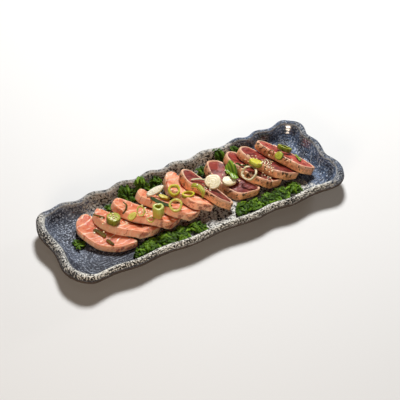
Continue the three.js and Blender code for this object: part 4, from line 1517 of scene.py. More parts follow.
@dataclass
class Round(Food):
    """A cut across a stalk, solid or hollow, that settles on what is laid.

    Attributes:
        wall: thickness of a hollow one's wall, or 0.
        squash: its breadth as a share of its length in plan.
        axis: the way that it leans, or nothing where it follows the slope under it.
        wobble: how far it is out of round, as a share of its radius.
        steepest: the slope that it leans by at most.
    """

    at: Plan
    radius: float
    height: float
    wall: float = 0.0
    squash: float = 1.0
    axis: Spot | None = None
    turn: float = 0.0
    wobble: float = 0.03
    steepest: float = 0.75
    steps: int = 72
    span_steps: int = 3

    OUTSIDE: ClassVar[Line] = ((0.7, 0), (0.95, 0.1), (1, 0.3), (1, 0.7), (0.95, 0.92), (0.72, 1))
    BORE: ClassVar[Line] = ((0.28, 1), (0.04, 0.92), (0, 0.6), (0, 0.4), (0.04, 0.08), (0.28, 0))
    SKIN: ClassVar[Line] = ((0.35, 0), (0.86, 0), (0.97, 0.1), (1, 0.3), (1, 0.7), (0.97, 0.9))
    TOP: ClassVar[Line] = ((0.88, 0.985), (0.66, 1.02), (0.4, 1.05), (0.15, 1.06))

    def profile(self) -> Array:
        """The section's distance from the axis and height, from the lower face round to the upper."""
        if not self.wall:
            return smooth_path(np.array(self.SKIN + self.TOP) * (self.radius, self.height), self.span_steps)
        points = np.array(self.OUTSIDE + self.BORE) * (self.wall, self.height)
        points += (self.radius - self.wall, 0)
        return smooth_path(np.vstack([points, points[:1]]), self.span_steps)[:-1]

    def turned(self, laid: Laid) -> Array:
        """How it is turned round its axis, and leaned by the slope under it where no way is given.

        Args:
            laid: what it settles on.

        Returns:
            The matrix, shaped (3, 3).
        """
        slope = laid.slope(self.at, self.radius)
        steep = max(1.0, math.hypot(*slope) / self.steepest)
        lean = Vector(self.axis or (-slope[0] / steep, -slope[1] / steep, 1)).normalized()
        tipped = np.array(Vector((0, 0, 1)).rotation_difference(lean).to_matrix())
        c, s = math.cos(self.turn), math.sin(self.turn)
        return tipped @ np.array([[c, -s, 0], [s, c, 0], [0, 0, 1]])

    def build(self, kitchen: Kitchen) -> Thing:
        """Turns the section round, leans it and sets it down.

        Args:
            kitchen: what it is made with.

        Returns:
            The round.
        """
        section = self.profile()
        angle = np.arange(self.steps) * 2 * math.pi / self.steps
        uneven = 1 + self.wobble * np.sin(3 * angle + 1) + 0.6 * self.wobble * np.sin(5 * angle + self.at[0])
        radius = section[:, :1] * uneven
        height = section[:, 1:] + 0 * radius
        rings = np.stack([radius * np.cos(angle), radius * self.squash * np.sin(angle), height], -1)
        rings += surface_normals(rings) * (lattice_noise(rings + self.at[0], 3.5, 7) * 0.16)[..., None]
        rings = rings @ self.turned(kitchen.laid).T
        rings += np.array([*self.at, 0.0])
        lowest, highest = (corner[2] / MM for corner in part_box(self.name))
        rings[..., 2] = np.minimum(rings[..., 2] + lowest - rings[..., 2].min(), highest)
        up = np.repeat(section[:, 1:] / self.height, self.steps, 1)
        edge = np.repeat(section[:, :1] / self.radius, self.steps, 1)
        flat = smooth(up, 0.9, 0.99) + smooth(up, 0.03, 0.0)
        if self.wall:
            edge = (edge * self.radius - (self.radius - self.wall)) / self.wall
            flat = smooth(abs(up - 0.5), 0.4, 0.47)
        turn = np.repeat(angle[None, :], len(section), 0)
        fields = {"up": up, "edge": edge, "flat": np.clip(flat, 0, 1), "turn": turn}
        made = loft(self.name + "_cut", rings, Close.LOOP if self.wall else Close.FAN, fields)
        return self.serve(kitchen, made, rings)


# -------- scattered things
@dataclass(frozen=True)
class Scatter:
    """Copies of one small shape on given places, each turned and sized at random about the way it faces.

    Attributes:
        uneven: how far the sizes differ, as a share.
        tilt: how far a copy leans from the way its place faces.
        heading, spread: the turn of the copies, and how far it differs.
    """

    uneven: float
    tilt: float
    seed: int
    heading: float = 0.0
    spread: float = math.pi

    INPUTS: ClassVar[dict[str, str]] = {
        "Geometry": "Geometry", "Smallest": "Float", "Largest": "Float",
        "Least Turn": "Vector", "Most Turn": "Vector", "Seed": "Int",
    }

    def tree(self, shape: Thing, material: Material) -> Tree:
        """Builds the node tree, whose inputs are the sizes, the least and the most turn and the seed.

        Args:
            shape: the small shape.
            material: what the copies look like.

        Returns:
            The tree.
        """
        tree = bpy.data.node_groups.new("scatter", "GeometryNodeTree")
        for key, kind in self.INPUTS.items():
            tree.interface.new_socket(key, in_out="INPUT", socket_type=f"NodeSocket{kind}")
        tree.interface.new_socket("Geometry", in_out="OUTPUT", socket_type="NodeSocketGeometry")
        graph = Graph(tree)
        given = graph.node("NodeGroupInput").outputs
        seed = given["Seed"]
        points = graph.out("GeometryNodeMeshToPoints", {"Mesh": given["Geometry"]})
        facing = graph.out("GeometryNodeInputNamedAttribute", {"Name": "facing"}, data_type="FLOAT_VECTOR")
        upright = graph.out("FunctionNodeAlignRotationToVector", {"Vector": facing}, axis="Z")
        turns = {0: given["Least Turn"], 1: given["Most Turn"], "Seed": seed}
        turn = graph.out("FunctionNodeRandomValue", turns, data_type="FLOAT_VECTOR")
        spin = graph.out("FunctionNodeEulerToRotation", {0: turn})
        whole = graph.out("FunctionNodeRotateRotation", {0: upright, 1: spin}, rotation_space="LOCAL")
        sizes = {2: given["Smallest"], 3: given["Largest"], "Seed": seed}
        size = graph.out("FunctionNodeRandomValue", sizes, 1, data_type="FLOAT")
        copied = graph.out("GeometryNodeObjectInfo", {"Object": shape}, "Geometry")
        put = {"Points": points, "Instance": copied, "Rotation": whole, "Scale": size}
        copies = graph.out("GeometryNodeInstanceOnPoints", put)
        tint = graph.out("FunctionNodeRandomValue", {2: 0.0, 3: 1.0, "Seed": seed}, 1, data_type="FLOAT")
        stored = {"Geometry": copies, "Name": "tint", "Value": tint}
        tinted = graph.out("GeometryNodeStoreNamedAttribute", stored, data_type="FLOAT", domain="INSTANCE")
        real = graph.out("GeometryNodeRealizeInstances", {0: tinted})
        dressed = graph.out("GeometryNodeSetMaterial", {"Geometry": real, "Material": material})
        graph.node("NodeGroupOutput", {0: dressed})
        return tree

    def build(self, name: str, places: Array, facing: Array, shape: Thing, material: Material) -> Thing:
        """Puts a copy of the shape on each place.

        Args:
            name: the new piece's name.
            places: shaped (n, 3), in millimetres.
            facing: the way that each place faces, shaped (n, 3).
            shape: the small shape, which is removed afterwards.
            material: what the copies look like.

        Returns:
            The copies as one plain mesh.
        """
        holder = new_object(name + "_places", places, [], {})
        layer = holder.data.attributes.new("facing", "FLOAT_VECTOR", "POINT")
        layer.data.foreach_set("vector", facing.astype(np.float32).ravel())
        tree = self.tree(shape, material)
        modifier = holder.modifiers.new("scatter", "NODES")
        modifier.node_group = tree
        sockets = {item.name: item.identifier for item in tree.interface.items_tree if item.in_out == "INPUT"}
        values = {
            "Smallest": 1 - self.uneven,
            "Largest": 1 + self.uneven,
            "Least Turn": (-self.tilt, -self.tilt, self.heading - self.spread),
            "Most Turn": (self.tilt, self.tilt, self.heading + self.spread),
            "Seed": self.seed,
        }
        for key, value in values.items():
            modifier[sockets[key]] = value
        evaluated = holder.evaluated_get(bpy.context.evaluated_depsgraph_get())
        mesh = bpy.data.meshes.new_from_object(evaluated)
        mesh.name = name
        made = linked(name, mesh)
        holder.modifiers.remove(modifier)
        for gone in (holder, shape):
            bpy.data.objects.remove(gone)
        return made


@dataclass
class Leaf:
    """One frilly leaf: its midrib is pulled up at its root, middle and tip, and its waves have a phase."""

    root: Plan
    tip: Plan
    width: float
    rise: Spot
    phase: float

    def point(self, s: Array, across: Array) -> tuple[Array, ...]:
        """Places on the leaf.

        Args:
            s, across: the share of its length, and of its half width to the left.

        Returns:
            x, y and rise of each place, and the way outwards from the midrib.
        """
        way = (self.tip[0] - self.root[0], self.tip[1] - self.root[1])
        swell = np.sin(math.pi * lerp(0.14, 0.97, s)) ** 0.6
        forward = math.hypot(*way) * s + 0.06 * self.width * abs(across)
        x, y = beside_line(self.root, self.tip, forward, across * self.width * swell / 2)
        out = np.stack([*beside_line((0, 0), way, 0.4, across), 0 * across], -1)
        return x, y, arch(s, self.rise), out


@dataclass
class LeafBed:
    """A heap of frilly leaves that grow together, tucked under the fish.

    Attributes:
        centre, reach, height: the low mound under them, or nothing.
        spacing, curl, heading: the leaflets' distance, half their length, and where they point in plan.
        mound_rings: the mound's rings as shares of its reach and height.
        over, under: the gaps left over the ground and under the fish.
        spill, spill_up: how far it may stand out of its node's box, sideways and upwards.
        full_height: how far over the ground a leaflet is in full light.
    """

    name: str
    leaves: tuple[Leaf, ...]
    centre: Plan | None = None
    reach: Plan = (33.0, 6.0)
    height: float = 3.0
    spacing: float = 3.0
    curl: float = 4.4
    heading: float = -1.9
    leaflet_steps: int = 9
    leaflet_thick: float = 0.42
    blade_steps: int = 34
    blade_columns: int = 13
    blade_thick: float = 0.5
    mound_steps: int = 48
    mound_rings: Line = ((0.88, 0), (1, 0.35), (0.9, 0.7), (0.7, 0.92), (0.4, 1.0))
    over: float = 0.15
    under: float = 0.3
    spill: float = 1.5
    spill_up: float = 0.6
    full_height: float = 6.0
    finish: Finish = LeafGreen(
        "curly_leaf", roughness=0.5, specular=0.2, subsurface=0.06, bleed=(0.4, 1.0, 0.2), bleed_reach=1.5
    )

    def frond_shape(self) -> Thing:
        """Makes a small pointed leaflet with cut edges that arches over."""
        along = np.linspace(0, 1, self.leaflet_steps)[:, None]
        across = np.array([-1.0, 0.0, 1.0])[None, :]
        lobes = 1 - 0.42 * (np.arange(self.leaflet_steps) % 2)[:, None]
        swell = np.sin(math.pi * lerp(0.12, 0.97, along)) ** 0.7 * lobes
        x = (along - 0.35) * 2.0 + 0.12 * abs(across)
        y = across * 0.36 * swell
        z = 0.5 * np.sin(math.pi * along * 0.85) + 0.2 * across**2 * np.cos(along * 17) - 0.25 * along**2
        grid = np.stack([x, y, z], -1) * self.curl
        return thin_sheet("frond", grid, self.leaflet_thick, {"edge": abs(across) * np.ones_like(x)})

    def blade(self, leaf: Leaf, laid: Laid, number: int) -> Thing:
        """Makes the wavy sheet that a leaf's curls stand on.

        Args:
            leaf: the leaf.
            laid: heights under it.
            number: which leaf of the bed.

        Returns:
            The sheet.
        """
        s = np.linspace(0, 1, self.blade_steps)[:, None]
        across = np.linspace(-1, 1, self.blade_columns)[None, :] * (1 + 0.12 * np.sin(17 * s + leaf.phase))
        x, y, lift, _ = leaf.point(s, across)
        wave = 1.3 * np.sin(21 * s + 2 * across + leaf.phase) + 0.6 * np.sin(43 * s - leaf.phase)
        wave = wave * across**2
        z = laid.height(x, y) + GAP + 0.3 + np.clip(lift * (1 - 0.35 * across**2) + wave, 0, None)
        fields = {"edge": abs(across) * 0.8 + 0 * s, "tint": 0.35 + 0 * across * s}
        return thin_sheet(f"blade_{number}", np.stack([x, y, z], -1), self.blade_thick, fields)

    def spots(self, leaf: Leaf, laid: Laid, draw: np.random.Generator) -> tuple[Array, Array]:
        """Draws the places of a leaf's leaflets.

        Args:
            leaf: the leaf.
            laid: heights under it.
            draw: the random draw.

        Returns:
            The places and the way that each faces, both shaped (n, 3).
        """
        rows = max(int(math.dist(leaf.root, leaf.tip) / self.spacing), 3)
        columns = max(int(leaf.width / self.spacing), 2)
        along = (np.arange(rows) + 0.6) / rows
        s, across = np.meshgrid(along, np.linspace(-0.8, 0.8, columns), indexing="ij")
        s = np.clip(s.ravel() + draw.uniform(-0.45, 0.45, s.size) / rows, 0, 1)
        across = np.clip(across.ravel() + draw.uniform(-0.4, 0.4, s.size) / columns, -0.88, 0.88)
        x, y, lift, out = leaf.point(s, across)
        z = laid.height(x, y) + GAP + 0.6 + lift * (1 - 0.3 * across**2) + draw.uniform(-0.4, 1.6, s.size)
        facing = out * 0.55 + np.array([0, 0, 1.0])
        return np.stack([x, y, z], -1), facing / np.linalg.norm(facing, axis=1, keepdims=True)

    def mound(self, laid: Laid) -> list[Thing]:
        """Makes the low mound that the leaves grow together in, painted dark as shade under them.

        Args:
            laid: heights under it.

        Returns:
            The mound, or nothing for a loose leaf.
        """
        if not self.centre:
            return []
        angle = np.arange(self.mound_steps) * 2 * math.pi / self.mound_steps
        rings = []
        for share, up in self.mound_rings:
            x = self.centre[0] + self.reach[0] * share * np.cos(angle)
            y = self.centre[1] + self.reach[1] * share * np.sin(angle)
            rings.append(np.stack([x, y, laid.height(x, y) + GAP + self.height * up], -1))
        rings = np.array(rings)
        # The mound takes the lowest tint, the darkest green: painted shade under the leaflets.
        dark = np.zeros(rings.shape[:2])
        return [loft("mound", rings, Close.FAN, {"edge": dark, "tint": dark})]

    def build(self, kitchen: Kitchen, ground: Laid, ceiling: Array) -> Thing:
        """Builds the bed and presses it down where fish lies over it.

        Args:
            kitchen: what it is made with.
            ground: heights under the bed.
            ceiling: the underside of what lies over the bed, in the ground's cells.

        Returns:
            The bed.
        """
        draw = np.random.default_rng(len(self.name) * 7 + len(self.leaves))
        found = [self.spots(leaf, ground, draw) for leaf in self.leaves]
        places, facing = (np.vstack(part) for part in zip(*found))
        scatter = Scatter(uneven=0.35, tilt=0.5, seed=5, heading=self.heading, spread=1.3)
        material = kitchen.material(self.finish)
        curls = scatter.build(self.name + "_leaflets", places, facing, self.frond_shape(), material)
        blades = [self.blade(leaf, ground, i) for i, leaf in enumerate(self.leaves)]
        made = joined(self.name + "_fronds", [curls, *blades, *self.mound(ground)])
        self.press(made, ground, ceiling)
        return kitchen.finish(made, self.finish, self.name, Slot.LEAF)

    def press(self, made: Thing, ground: Laid, ceiling: Array) -> None:
        """Keeps every point over the ground, under the fish and about inside the bed's own box.

        Args:
            made: the bed.
            ground: heights under it.
            ceiling: the underside of what lies over it, in the ground's cells.
        """
        places = vertex_places(made.data)
        low, high = (np.array(corner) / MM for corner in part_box(self.name))
        places[:, :2] = np.clip(places[:, :2], low[:2] - self.spill, high[:2] + self.spill)
        x, y = places[:, 0], places[:, 1]
        floor = ground.height(x, y) + self.over
        top = np.minimum(ceiling[ground.cells(x, y)] - self.under, high[2] + self.spill_up)
        room = np.maximum(top - floor, 0.25)
        places[:, 2] = floor + room * np.tanh(np.maximum(places[:, 2] - floor, 0) / room)
        made.data.vertices.foreach_set("co", (places * MM).ravel())
        # The height over the ground, by which the shader paints shade low in the bed.
        keep(made.data, "height", np.clip((places[:, 2] - floor) / self.full_height, 0, 1))
        made.data.update()


@dataclass
class Sesame:
    """Sesame seeds scattered in clusters over the fish and the rounds.

    Attributes:
        clusters: the middle, the count of seeds and the radius of each.
        half_size, sink: half the size of a seed, and how deep it lies in.
        steepest: how upright a place has to be for a seed to lie along it.
    """

    clusters: tuple[tuple[Plan, int, float], ...]
    half_size: Spot = (1.55, 0.95, 0.62)
    sink: float = 0.18
    steps: int = 8
    rings: int = 5
    steepest: float = 0.55
    finish: Finish = SeedHusk("sesame_husk", roughness=0.45, subsurface=0.1)

    def shape(self) -> Thing:
        """Makes one seed: a flat drop, pointed at one end."""
        angle = np.arange(self.steps) * 2 * math.pi / self.steps
        length, breadth, thick = self.half_size
        rings = []
        for share in np.linspace(0, 1, self.rings + 2)[1:-1]:
            girth = math.sin(math.pi * share) ** 0.7 * (1 - 0.35 * (share - 0.3))
            x = (2 * share - 1) * length + 0 * angle
            rings.append(np.stack([x, breadth * girth * np.cos(angle), thick * girth * np.sin(angle)], -1))
        return loft("seed", np.array(rings), Close.FAN, {})

    def build(self, kitchen: Kitchen) -> Thing:
        """Scatters the seeds.

        Args:
            kitchen: what it is made with.

        Returns:
            The seeds as one piece.
        """
        laid = kitchen.laid
        places, facing = [], []
        for at, count, reach in self.clusters:
            for i in range(count):
                angle = i * GOLDEN_ANGLE
                distance = reach * math.sqrt((i + 0.5) / count)
                spot = (at[0] + distance * math.cos(angle), at[1] + distance * math.sin(angle))
                slope = laid.slope(spot, 2.0)
                normal = np.array([-slope[0], -slope[1], 1.0])
                normal /= np.linalg.norm(normal)
                places.append((*spot, float(laid.heights[laid.cells(*spot)]) + self.half_size[2] - self.sink))
                facing.append(normal if normal[2] > self.steepest else (0, 0, 1))
        material = kitchen.material(self.finish)
        scatter = Scatter(uneven=0.14, tilt=0.18, seed=3)
        made = scatter.build("sesame_seeds", np.array(places), np.array(facing), self.shape(), material)
        return kitchen.finish(made, self.finish)


# -------- studio
@dataclass(frozen=True)
class Light:
    """A soft square light that shines on the plate from one way; side in metres, power in watts."""

    name: str
    way: Spot
    side: float
    power: float
    colour: Spot = (1.0, 1.0, 1.0)

    def build(self, reach: float) -> None:
        """Puts it up at a distance from the plate in metres."""
        data = bpy.data.lights.new(self.name, "AREA")
        data.size = self.side
        data.energy = self.power
        data.color = self.colour
        lamp = linked(self.name, data)
        place = Vector(self.way).normalized() * reach
        lamp.location = place
        lamp.rotation_euler = (-place).to_track_quat("-Z", "Y").to_euler()


WARM = (1.0, 0.82, 0.66)
LIGHTS = (
    Light("key", (8.0, 12.0, 25.0), 0.33, 26.0),
    Light("fill", (-5.5, -7.0, 24.0), 0.25, 0.25),
    Light("front", (-15.0, -16.0, 7.5), 0.45, 9.0, WARM),
    Light("right", (20.0, 4.0, 6.0), 0.25, 2.6),
)


@dataclass
class Studio:
    """A pale table, soft light from behind on the right and a little sky, and the camera."""

    lens: float = 121.5
    sensor: float = 36.0
    target: Spot = (15.7, 12.5, 0.0)
    back: Spot = (-0.3606, -0.6349, 0.6833)
    distance: float = 1505.0
    far_clip: float = 20.0
    lights: tuple[Light, ...] = LIGHTS
    reach: float = 1.5
    sky: Spot = WARM
    sky_power: float = 0.015
    table: Paint = paint(228, 228, 227)
    table_roughness: float = 0.7
    table_side: float = 2500.0

    def build(self) -> None:
        """Adds the table, the lights, the sky and the camera."""
        self.lay_table()
        for light in self.lights:
            light.build(self.reach)
        world = bpy.data.worlds.new("sky")
        world.use_nodes = True
        background = world.node_tree.nodes["Background"]
        background.inputs["Color"].default_value = (*self.sky, 1.0)
        background.inputs["Strength"].default_value = self.sky_power
        bpy.context.scene.world = world
        bpy.context.scene.view_settings.view_transform = "Standard"
        self.stand_camera()

    def lay_table(self) -> None:
        """Adds the table top."""
        material = bpy.data.materials.new("table_top")
        material.use_nodes = True
        shader = material.node_tree.nodes["Principled BSDF"]
        shader.inputs["Base Color"].default_value = self.table
        shader.inputs["Roughness"].default_value = self.table_roughness
        corners = np.array([(-1, -1, 0), (1, -1, 0), (1, 1, 0), (-1, 1, 0)]) * self.table_side
        floor = new_object("table", corners, [(0, 1, 2, 3)], {})
        floor.data.materials.append(material)

    def stand_camera(self) -> None:
        """Adds the camera."""
        data = bpy.data.cameras.new("camera")
        data.lens = self.lens
        data.sensor_width = self.sensor
        data.clip_end = self.far_clip
        camera = linked("camera", data)
        back = Vector(self.back).normalized()
        camera.location = (Vector(self.target) + back * self.distance) * MM
        camera.rotation_euler = back.to_track_quat("Z", "Y").to_euler()
        bpy.context.scene.camera = camera


# -------- what lies on the plate
BEDS = (
    LeafBed(
        "leaves_near_left",
        (
            Leaf((-66, -30), (-92, -39.5), 12, (0.4, 3, 1), 0.3),
            Leaf((-61, -24), (-73, -43), 16, (0.8, 7, 3), 1.9),
            Leaf((-45, -23), (-55, -45), 17, (0.8, 8, 3), 3.1),
            Leaf((-31, -23), (-34, -46), 17, (0.8, 9, 3), 4.6),
            Leaf((-19, -26), (-8, -43), 16, (0.8, 6, 1), 2.4),
        ),
        centre=(-42, -30),
    ),
    LeafBed(
        "leaves_near_right",
        (
            Leaf((52, -27), (36, -37), 14, (0.6, 4, 1), 0.8),
            Leaf((63, -26), (56, -44), 16, (0.8, 6, 3), 2.2),
            Leaf((79, -25), (74, -46), 17, (0.8, 8, 3), 3.7),
            Leaf((94, -24), (92, -45), 17, (0.8, 9, 3), 5.0),
            Leaf((105, -25), (114, -38), 15, (0.8, 6, 1), 2.9),
        ),
        centre=(76, -31),
    ),
    LeafBed(
        "leaves_far_left",
        (
            Leaf((-48, 41), (-67, 48), 13, (0.6, 4, 2), 0.5),
            Leaf((-40, 40), (-38, 51), 17, (0.8, 5, 3), 2.5),
            Leaf((-30, 41), (-17, 47), 12, (0.8, 4, 1), 1.2),
        ),
        centre=(-42, 42),
        reach=(22, 4.5),
        height=2.4,
    ),
    LeafBed("leaf_left", (Leaf((-132, 0), (-139, 13), 8, (0.2, 2, 0.5), 2.6),)),
    LeafBed("leaf_far_left", (Leaf((-79, 38), (-86, 43), 5, (0.4, 2, 1), 0.9),)),
    LeafBed("leaf_far_middle", (Leaf((31, 37), (39, 46), 8, (0.4, 2, 0.5), 0.4),)),
    LeafBed("leaf_far_right_1", (Leaf((66, 41), (57, 51), 9, (0.4, 2, 0.5), 0.2),)),
    LeafBed("leaf_far_right_2", (Leaf((89, 45), (76, 48.5), 6, (0.4, 2, 0.5), 1.7),)),
)

SALMON = FishFlesh(
    "salmon_flesh", roughness=0.48, specular=0.35, subsurface=0.8, bleed=(1.0, 0.6, 0.4), bleed_reach=5.0
)
DEEP_SALMON = replace(
    SALMON, name="salmon_flesh_deep", flesh=paint(226, 142, 104), deep=paint(204, 96, 60)
)
# A paler copy of the salmon for the fifth slice, which leans away from the key: painted light.
LIT_SALMON = replace(
    SALMON, name="salmon_flesh_lit", flesh=paint(255, 184, 148), deep=paint(232, 134, 96)
)
TUNA = FishFlesh(
    "seared_tuna_flesh",
    roughness=0.4, specular=0.4, subsurface=0.25, bleed=(1.0, 0.3, 0.2),
    flesh=paint(164, 66, 54), deep=paint(100, 28, 28), near_shade=0.5,
    line=paint(212, 130, 118), line_gap=9.0, line_share=0.28,
    rim=paint(240, 192, 158), rim_share=0.92, rim_from=0.84,
    side=paint(255, 188, 134), side_share=1.0, mottle=0.42,
    crack=paint(96, 32, 24), char=paint(58, 28, 14), char_share=0.9, bruise_share=0.0,
    wet=0.7, grain=0.45,
)
# The last tuna slice's copy, with paler flesh and no painted shade at its near end: painted light.
LIT_TUNA = replace(TUNA, name="seared_tuna_lit", near_shade=0.0, flesh=paint(204, 94, 78))
SALMON_THICK = 8.5
TUNA_THICK = 9.0
TUNA_CUT = {"rough": 0.4, "cracks": 0.25, "gap": 12.0, "square": (3.6, 4.8), "skew": (0.2, 0.3), "sink": 0.8}


def salmon(
    number: int, far: Plan, near: Plan, bow: float, width: Plan, finish: Finish = SALMON, **more: float | Plan
) -> Slice:
    """A slice of salmon, numbered from the left, between the middles of its far and its near end."""
    name, seed = f"salmon_slice_{number}", 10 * number
    return Slice(name, finish, Slot.SALMON, far, near, bow, width, SALMON_THICK, seed, **more)


def tuna(number: int, far: Plan, near: Plan, bow: float, width: Plan, finish: Finish = TUNA) -> Slice:
    """A slice of seared tuna, numbered from the left: squarer, smoother, its flesh sunk inside its rim."""
    name, seed = f"tuna_slice_{number}", 100 + 10 * number
    return Slice(name, finish, Slot.TUNA, far, near, bow, width, TUNA_THICK, seed, **TUNA_CUT)


SLICES = (
    salmon(1, (-119, 38), (-91, -26.5), 9, (31, 26), finish=DEEP_SALMON, slope=0.0, skew=(0.0, 0.5)),
    salmon(2, (-106.5, 32), (-58.5, -22), 8, (26, 24)),
    salmon(3, (-79.5, 40), (-35.5, -23), 7, (29, 24)),
    salmon(4, (-50, 40), (-13, -24.5), 6, (20, 25)),
    salmon(5, (-8.5, 46), (1, -23), 3, (24, 27), finish=LIT_SALMON),
    tuna(1, (9, 38), (24, -27.5), 2, (24, 22)),
    tuna(2, (44.5, 43), (59.5, -22.5), 3, (25, 28)),
    tuna(3, (68.5, 43), (89.5, -21), 4, (24, 28)),
    tuna(4, (83, 40), (113, -22), 3, (24, 25)),
    tuna(5, (108, 41), (133, -24), 1, (25, 22), finish=LIT_TUNA),
)


def stalk(name: str, colours: Sequence[Spot], **more: float | Spot) -> CutStalk:
    """A stalk's finish from the colours of its skin, lower skin, faces, their rings and their core."""
    parts = ("skin", "skin_low", "face", "layer", "core")
    return CutStalk(name, **{part: paint(*colour) for part, colour in zip(parts, colours)}, **more)


WEDGE = stalk(
    "onion_wedge_layers",
    ((236, 228, 204), (222, 208, 172), (240, 234, 212), (216, 204, 164), (244, 238, 222)),
    roughness=0.35, subsurface=0.1, bleed=(1.0, 0.9, 0.6), layers=4.0,
)
AMBER = stalk(
    "scallion_amber",
    ((212, 200, 76), (196, 150, 48), (232, 222, 120), (186, 180, 58), (206, 190, 78)),
    roughness=0.3, coat=0.2, subsurface=0.2, bleed=(1.0, 0.8, 0.2),
)
CREAM = stalk(
    "onion_cream",
    ((232, 216, 160), (214, 182, 108), (244, 232, 204), (222, 212, 158), (238, 226, 188)),
    roughness=0.35, subsurface=0.12, bleed=(1.0, 0.9, 0.5),
)
LIME = stalk(
    "scallion_lime",
    ((190, 190, 34), (130, 128, 14), (230, 220, 64), (192, 188, 36), (214, 208, 66)),
    roughness=0.35, coat=0.1, subsurface=0.1, bleed=(0.8, 1.0, 0.2),
)
GREEN = stalk(
    "scallion_green_cut",
    ((112, 126, 12), (70, 76, 5), (186, 186, 66), (126, 138, 26), (160, 164, 44)),
    roughness=0.32, coat=0.15, subsurface=0.1, bleed=(0.7, 1.0, 0.2),
)
STALK = stalk(
    "scallion_stalk_cut",
    ((204, 204, 84), (214, 160, 72), (226, 228, 140), (152, 170, 50), (190, 194, 80)),
    roughness=0.3, coat=0.3, subsurface=0.25, bleed=(0.9, 1.0, 0.3), lines=18.0,
)
BROWN = stalk(
    "scallion_browned",
    ((150, 92, 44), (110, 60, 30), (176, 118, 62), (140, 84, 42), (150, 90, 50)),
    roughness=0.34, coat=0.1, subsurface=0.08, bleed=(1.0, 0.5, 0.2),
)
DARK_BLADE = BladeGreen(
    "blade_dark", roughness=0.6, specular=0.2, light=paint(70, 92, 34), dark=paint(18, 36, 14)
)
LIME_BLADE = BladeGreen("blade_lime", roughness=0.36, light=paint(204, 202, 92), dark=paint(138, 150, 38))
OLIVE_BLADE = BladeGreen(
    "blade_olive", roughness=0.6, specular=0.2, light=paint(122, 98, 24), dark=paint(46, 34, 6)
)
BRIGHT_BLADE = BladeGreen("blade_bright", roughness=0.38, light=paint(150, 182, 56), dark=paint(78, 118, 28))
WHITE_BLADE = BladeGreen("blade_white", roughness=0.36, light=paint(226, 218, 188), dark=paint(196, 182, 136))

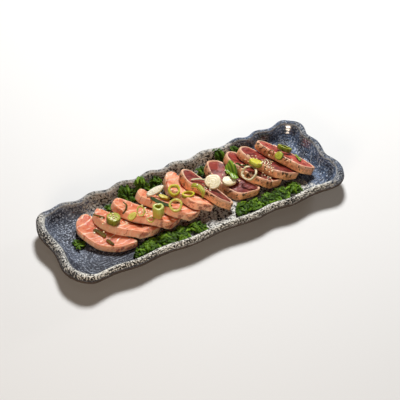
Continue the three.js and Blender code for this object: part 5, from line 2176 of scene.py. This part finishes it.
TOPPINGS = (
    Round("onion_wedge", WEDGE, Slot.WHITE, (-36, 21), 11, 3.5, squash=0.36, turn=0.1, axis=(-0.1, -0.35, 1)),
    Round("onion_slice", AMBER, Slot.PALE, (-31.5, 9.5), 7, 3, squash=0.8),
    Blade("chive_leaf_1", OLIVE_BLADE, Slot.DARK, (-116, 11), (-109.5, -5), 4.5, 1, bend=1),
    Blade("chive_leaf_2", OLIVE_BLADE, Slot.DARK, (-110.5, -9), (-107.5, -20), 3.5, 1),
    Blade("chive_leaf_3", OLIVE_BLADE, Slot.GREEN, (-110, 24), (-101, 13), 2, 1),
    Blade("chive_leaf_4", OLIVE_BLADE, Slot.DARK, (-71, 29), (-82, 8), 2, 1, bend=4),
    Round("scallion_round_1", GREEN, Slot.GREEN, (-95.5, 4.5), 7.6, 7.5),
    Round("scallion_round_2", AMBER, Slot.PALE, (-74.5, -0.5), 5.5, 2.6, squash=0.7),
    Round("scallion_ring_1", AMBER, Slot.PALE, (-65.5, -3), 6, 3.5, 1.9, 0.75, (-0.35, -0.5, 0.7), turn=1.2),
    Round("scallion_ring_2", AMBER, Slot.PALE, (-61.5, -17), 4.2, 2, 1.4),
    Blade("leaf_strip_1", DARK_BLADE, Slot.DARK, (-46, 12), (-33, -12), 5, 1.2, bend=-2),
    Round("scallion_stalk", STALK, Slot.GREEN, (-52, -17), 6.3, 13, 3.2, axis=(0.05, 0.1, 1), wobble=0.06),
    Round("scallion_chunk", LIME, Slot.GREEN, (-19, 9), 6.8, 6, 2.4, axis=(-0.1, -0.4, 0.9)),
    Round("scallion_ring_3", AMBER, Slot.PALE, (-29.5, -14.5), 7.4, 5, 2.4, axis=(-0.25, -0.4, 0.8)),
    Round("scallion_ring_4", LIME, Slot.PALE, (-8.5, -3), 8.4, 4, 2.8, squash=0.62, turn=0.2),
    Blade("leaf_strip_2", LIME_BLADE, Slot.GREEN, (3, 8), (6, -13), 4.5, 1.2, bend=3),
    Blade("onion_strip", WHITE_BLADE, Slot.WHITE, (8, 19), (25, 16), 3, 1.4),
    Round("onion_round_1", CREAM, Slot.WHITE, (25.5, 1), 9, 5, axis=(-0.2, -0.3, 0.9)),
    Round("onion_round_2", CREAM, Slot.WHITE, (47.5, 3.5), 8, 4, 0, 0.72, turn=-0.5, axis=(-0.05, -0.2, 0.9)),
    Blade("leaf_strip_3", BRIGHT_BLADE, Slot.GREEN, (59, 26), (54, -1), 10, 1.2, rise=(1, 3, 0)),
    Blade("leaf_strip_4", DARK_BLADE, Slot.DARK, (62, 14), (76, 10), 2.5, 1),
    Round("onion_ring", CREAM, Slot.WHITE, (69, -5), 9.3, 2.6, 1.9),
    Round("scallion_round_3", LIME, Slot.GREEN, (79.5, 1), 7.8, 5),
    Round("scallion_ring_5", BROWN, Slot.PALE, (107, 11), 4, 1.8, 1.2),
    Round("scallion_ring_6", GREEN, Slot.GREEN, (125, 13), 8.6, 5, 3.2),
    Round("scallion_round_4", GREEN, Slot.GREEN, (112, 1), 5, 3.5),
    Blade("leaf_strip_5", BRIGHT_BLADE, Slot.GREEN, (133, 0), (131, -13), 3, 1),
)

SEED_CLUSTERS = (
    ((-109, 8), 5, 9), ((-96, 5), 8, 5.5), ((-84, -1), 4, 4), ((-59, 0), 10, 5.5),
    ((-59, -9), 5, 3.5), ((13, 3), 6, 8), ((16, -6), 4, 4), ((50, 17), 4, 4),
    ((62, 0), 4, 4), ((64, 15), 6, 6), ((85, 17), 11, 8), ((98, 5), 18, 7),
    ((92, -6), 16, 7), ((89, -17), 5, 5), ((82, -7), 4, 4), ((119, -10), 2, 4),
)


def main() -> None:
    """Builds all that is on the table, from the plate to the seeds, then the studio."""
    logging.basicConfig(level=logging.INFO, format="%(message)s")
    plate = Plate()
    kitchen = Kitchen(Laid(plate.length, plate.width), Shared(speckle_group(), unevenness_group()), {})
    plate.build(kitchen)
    ground = copy.deepcopy(kitchen.laid)
    for bed in BEDS:
        kitchen.laid.add_node(bed.name)
    for piece in SLICES:
        kitchen.underside(piece.build(kitchen))
    ceiling = around_each(kitchen.ceiling).min(0)
    for bed in BEDS:
        bed.build(kitchen, ground, ceiling)
    for topping in TOPPINGS:
        topping.build(kitchen)
    Sesame(SEED_CLUSTERS).build(kitchen)
    Studio().build()


if __name__ == "__main__":
    main()
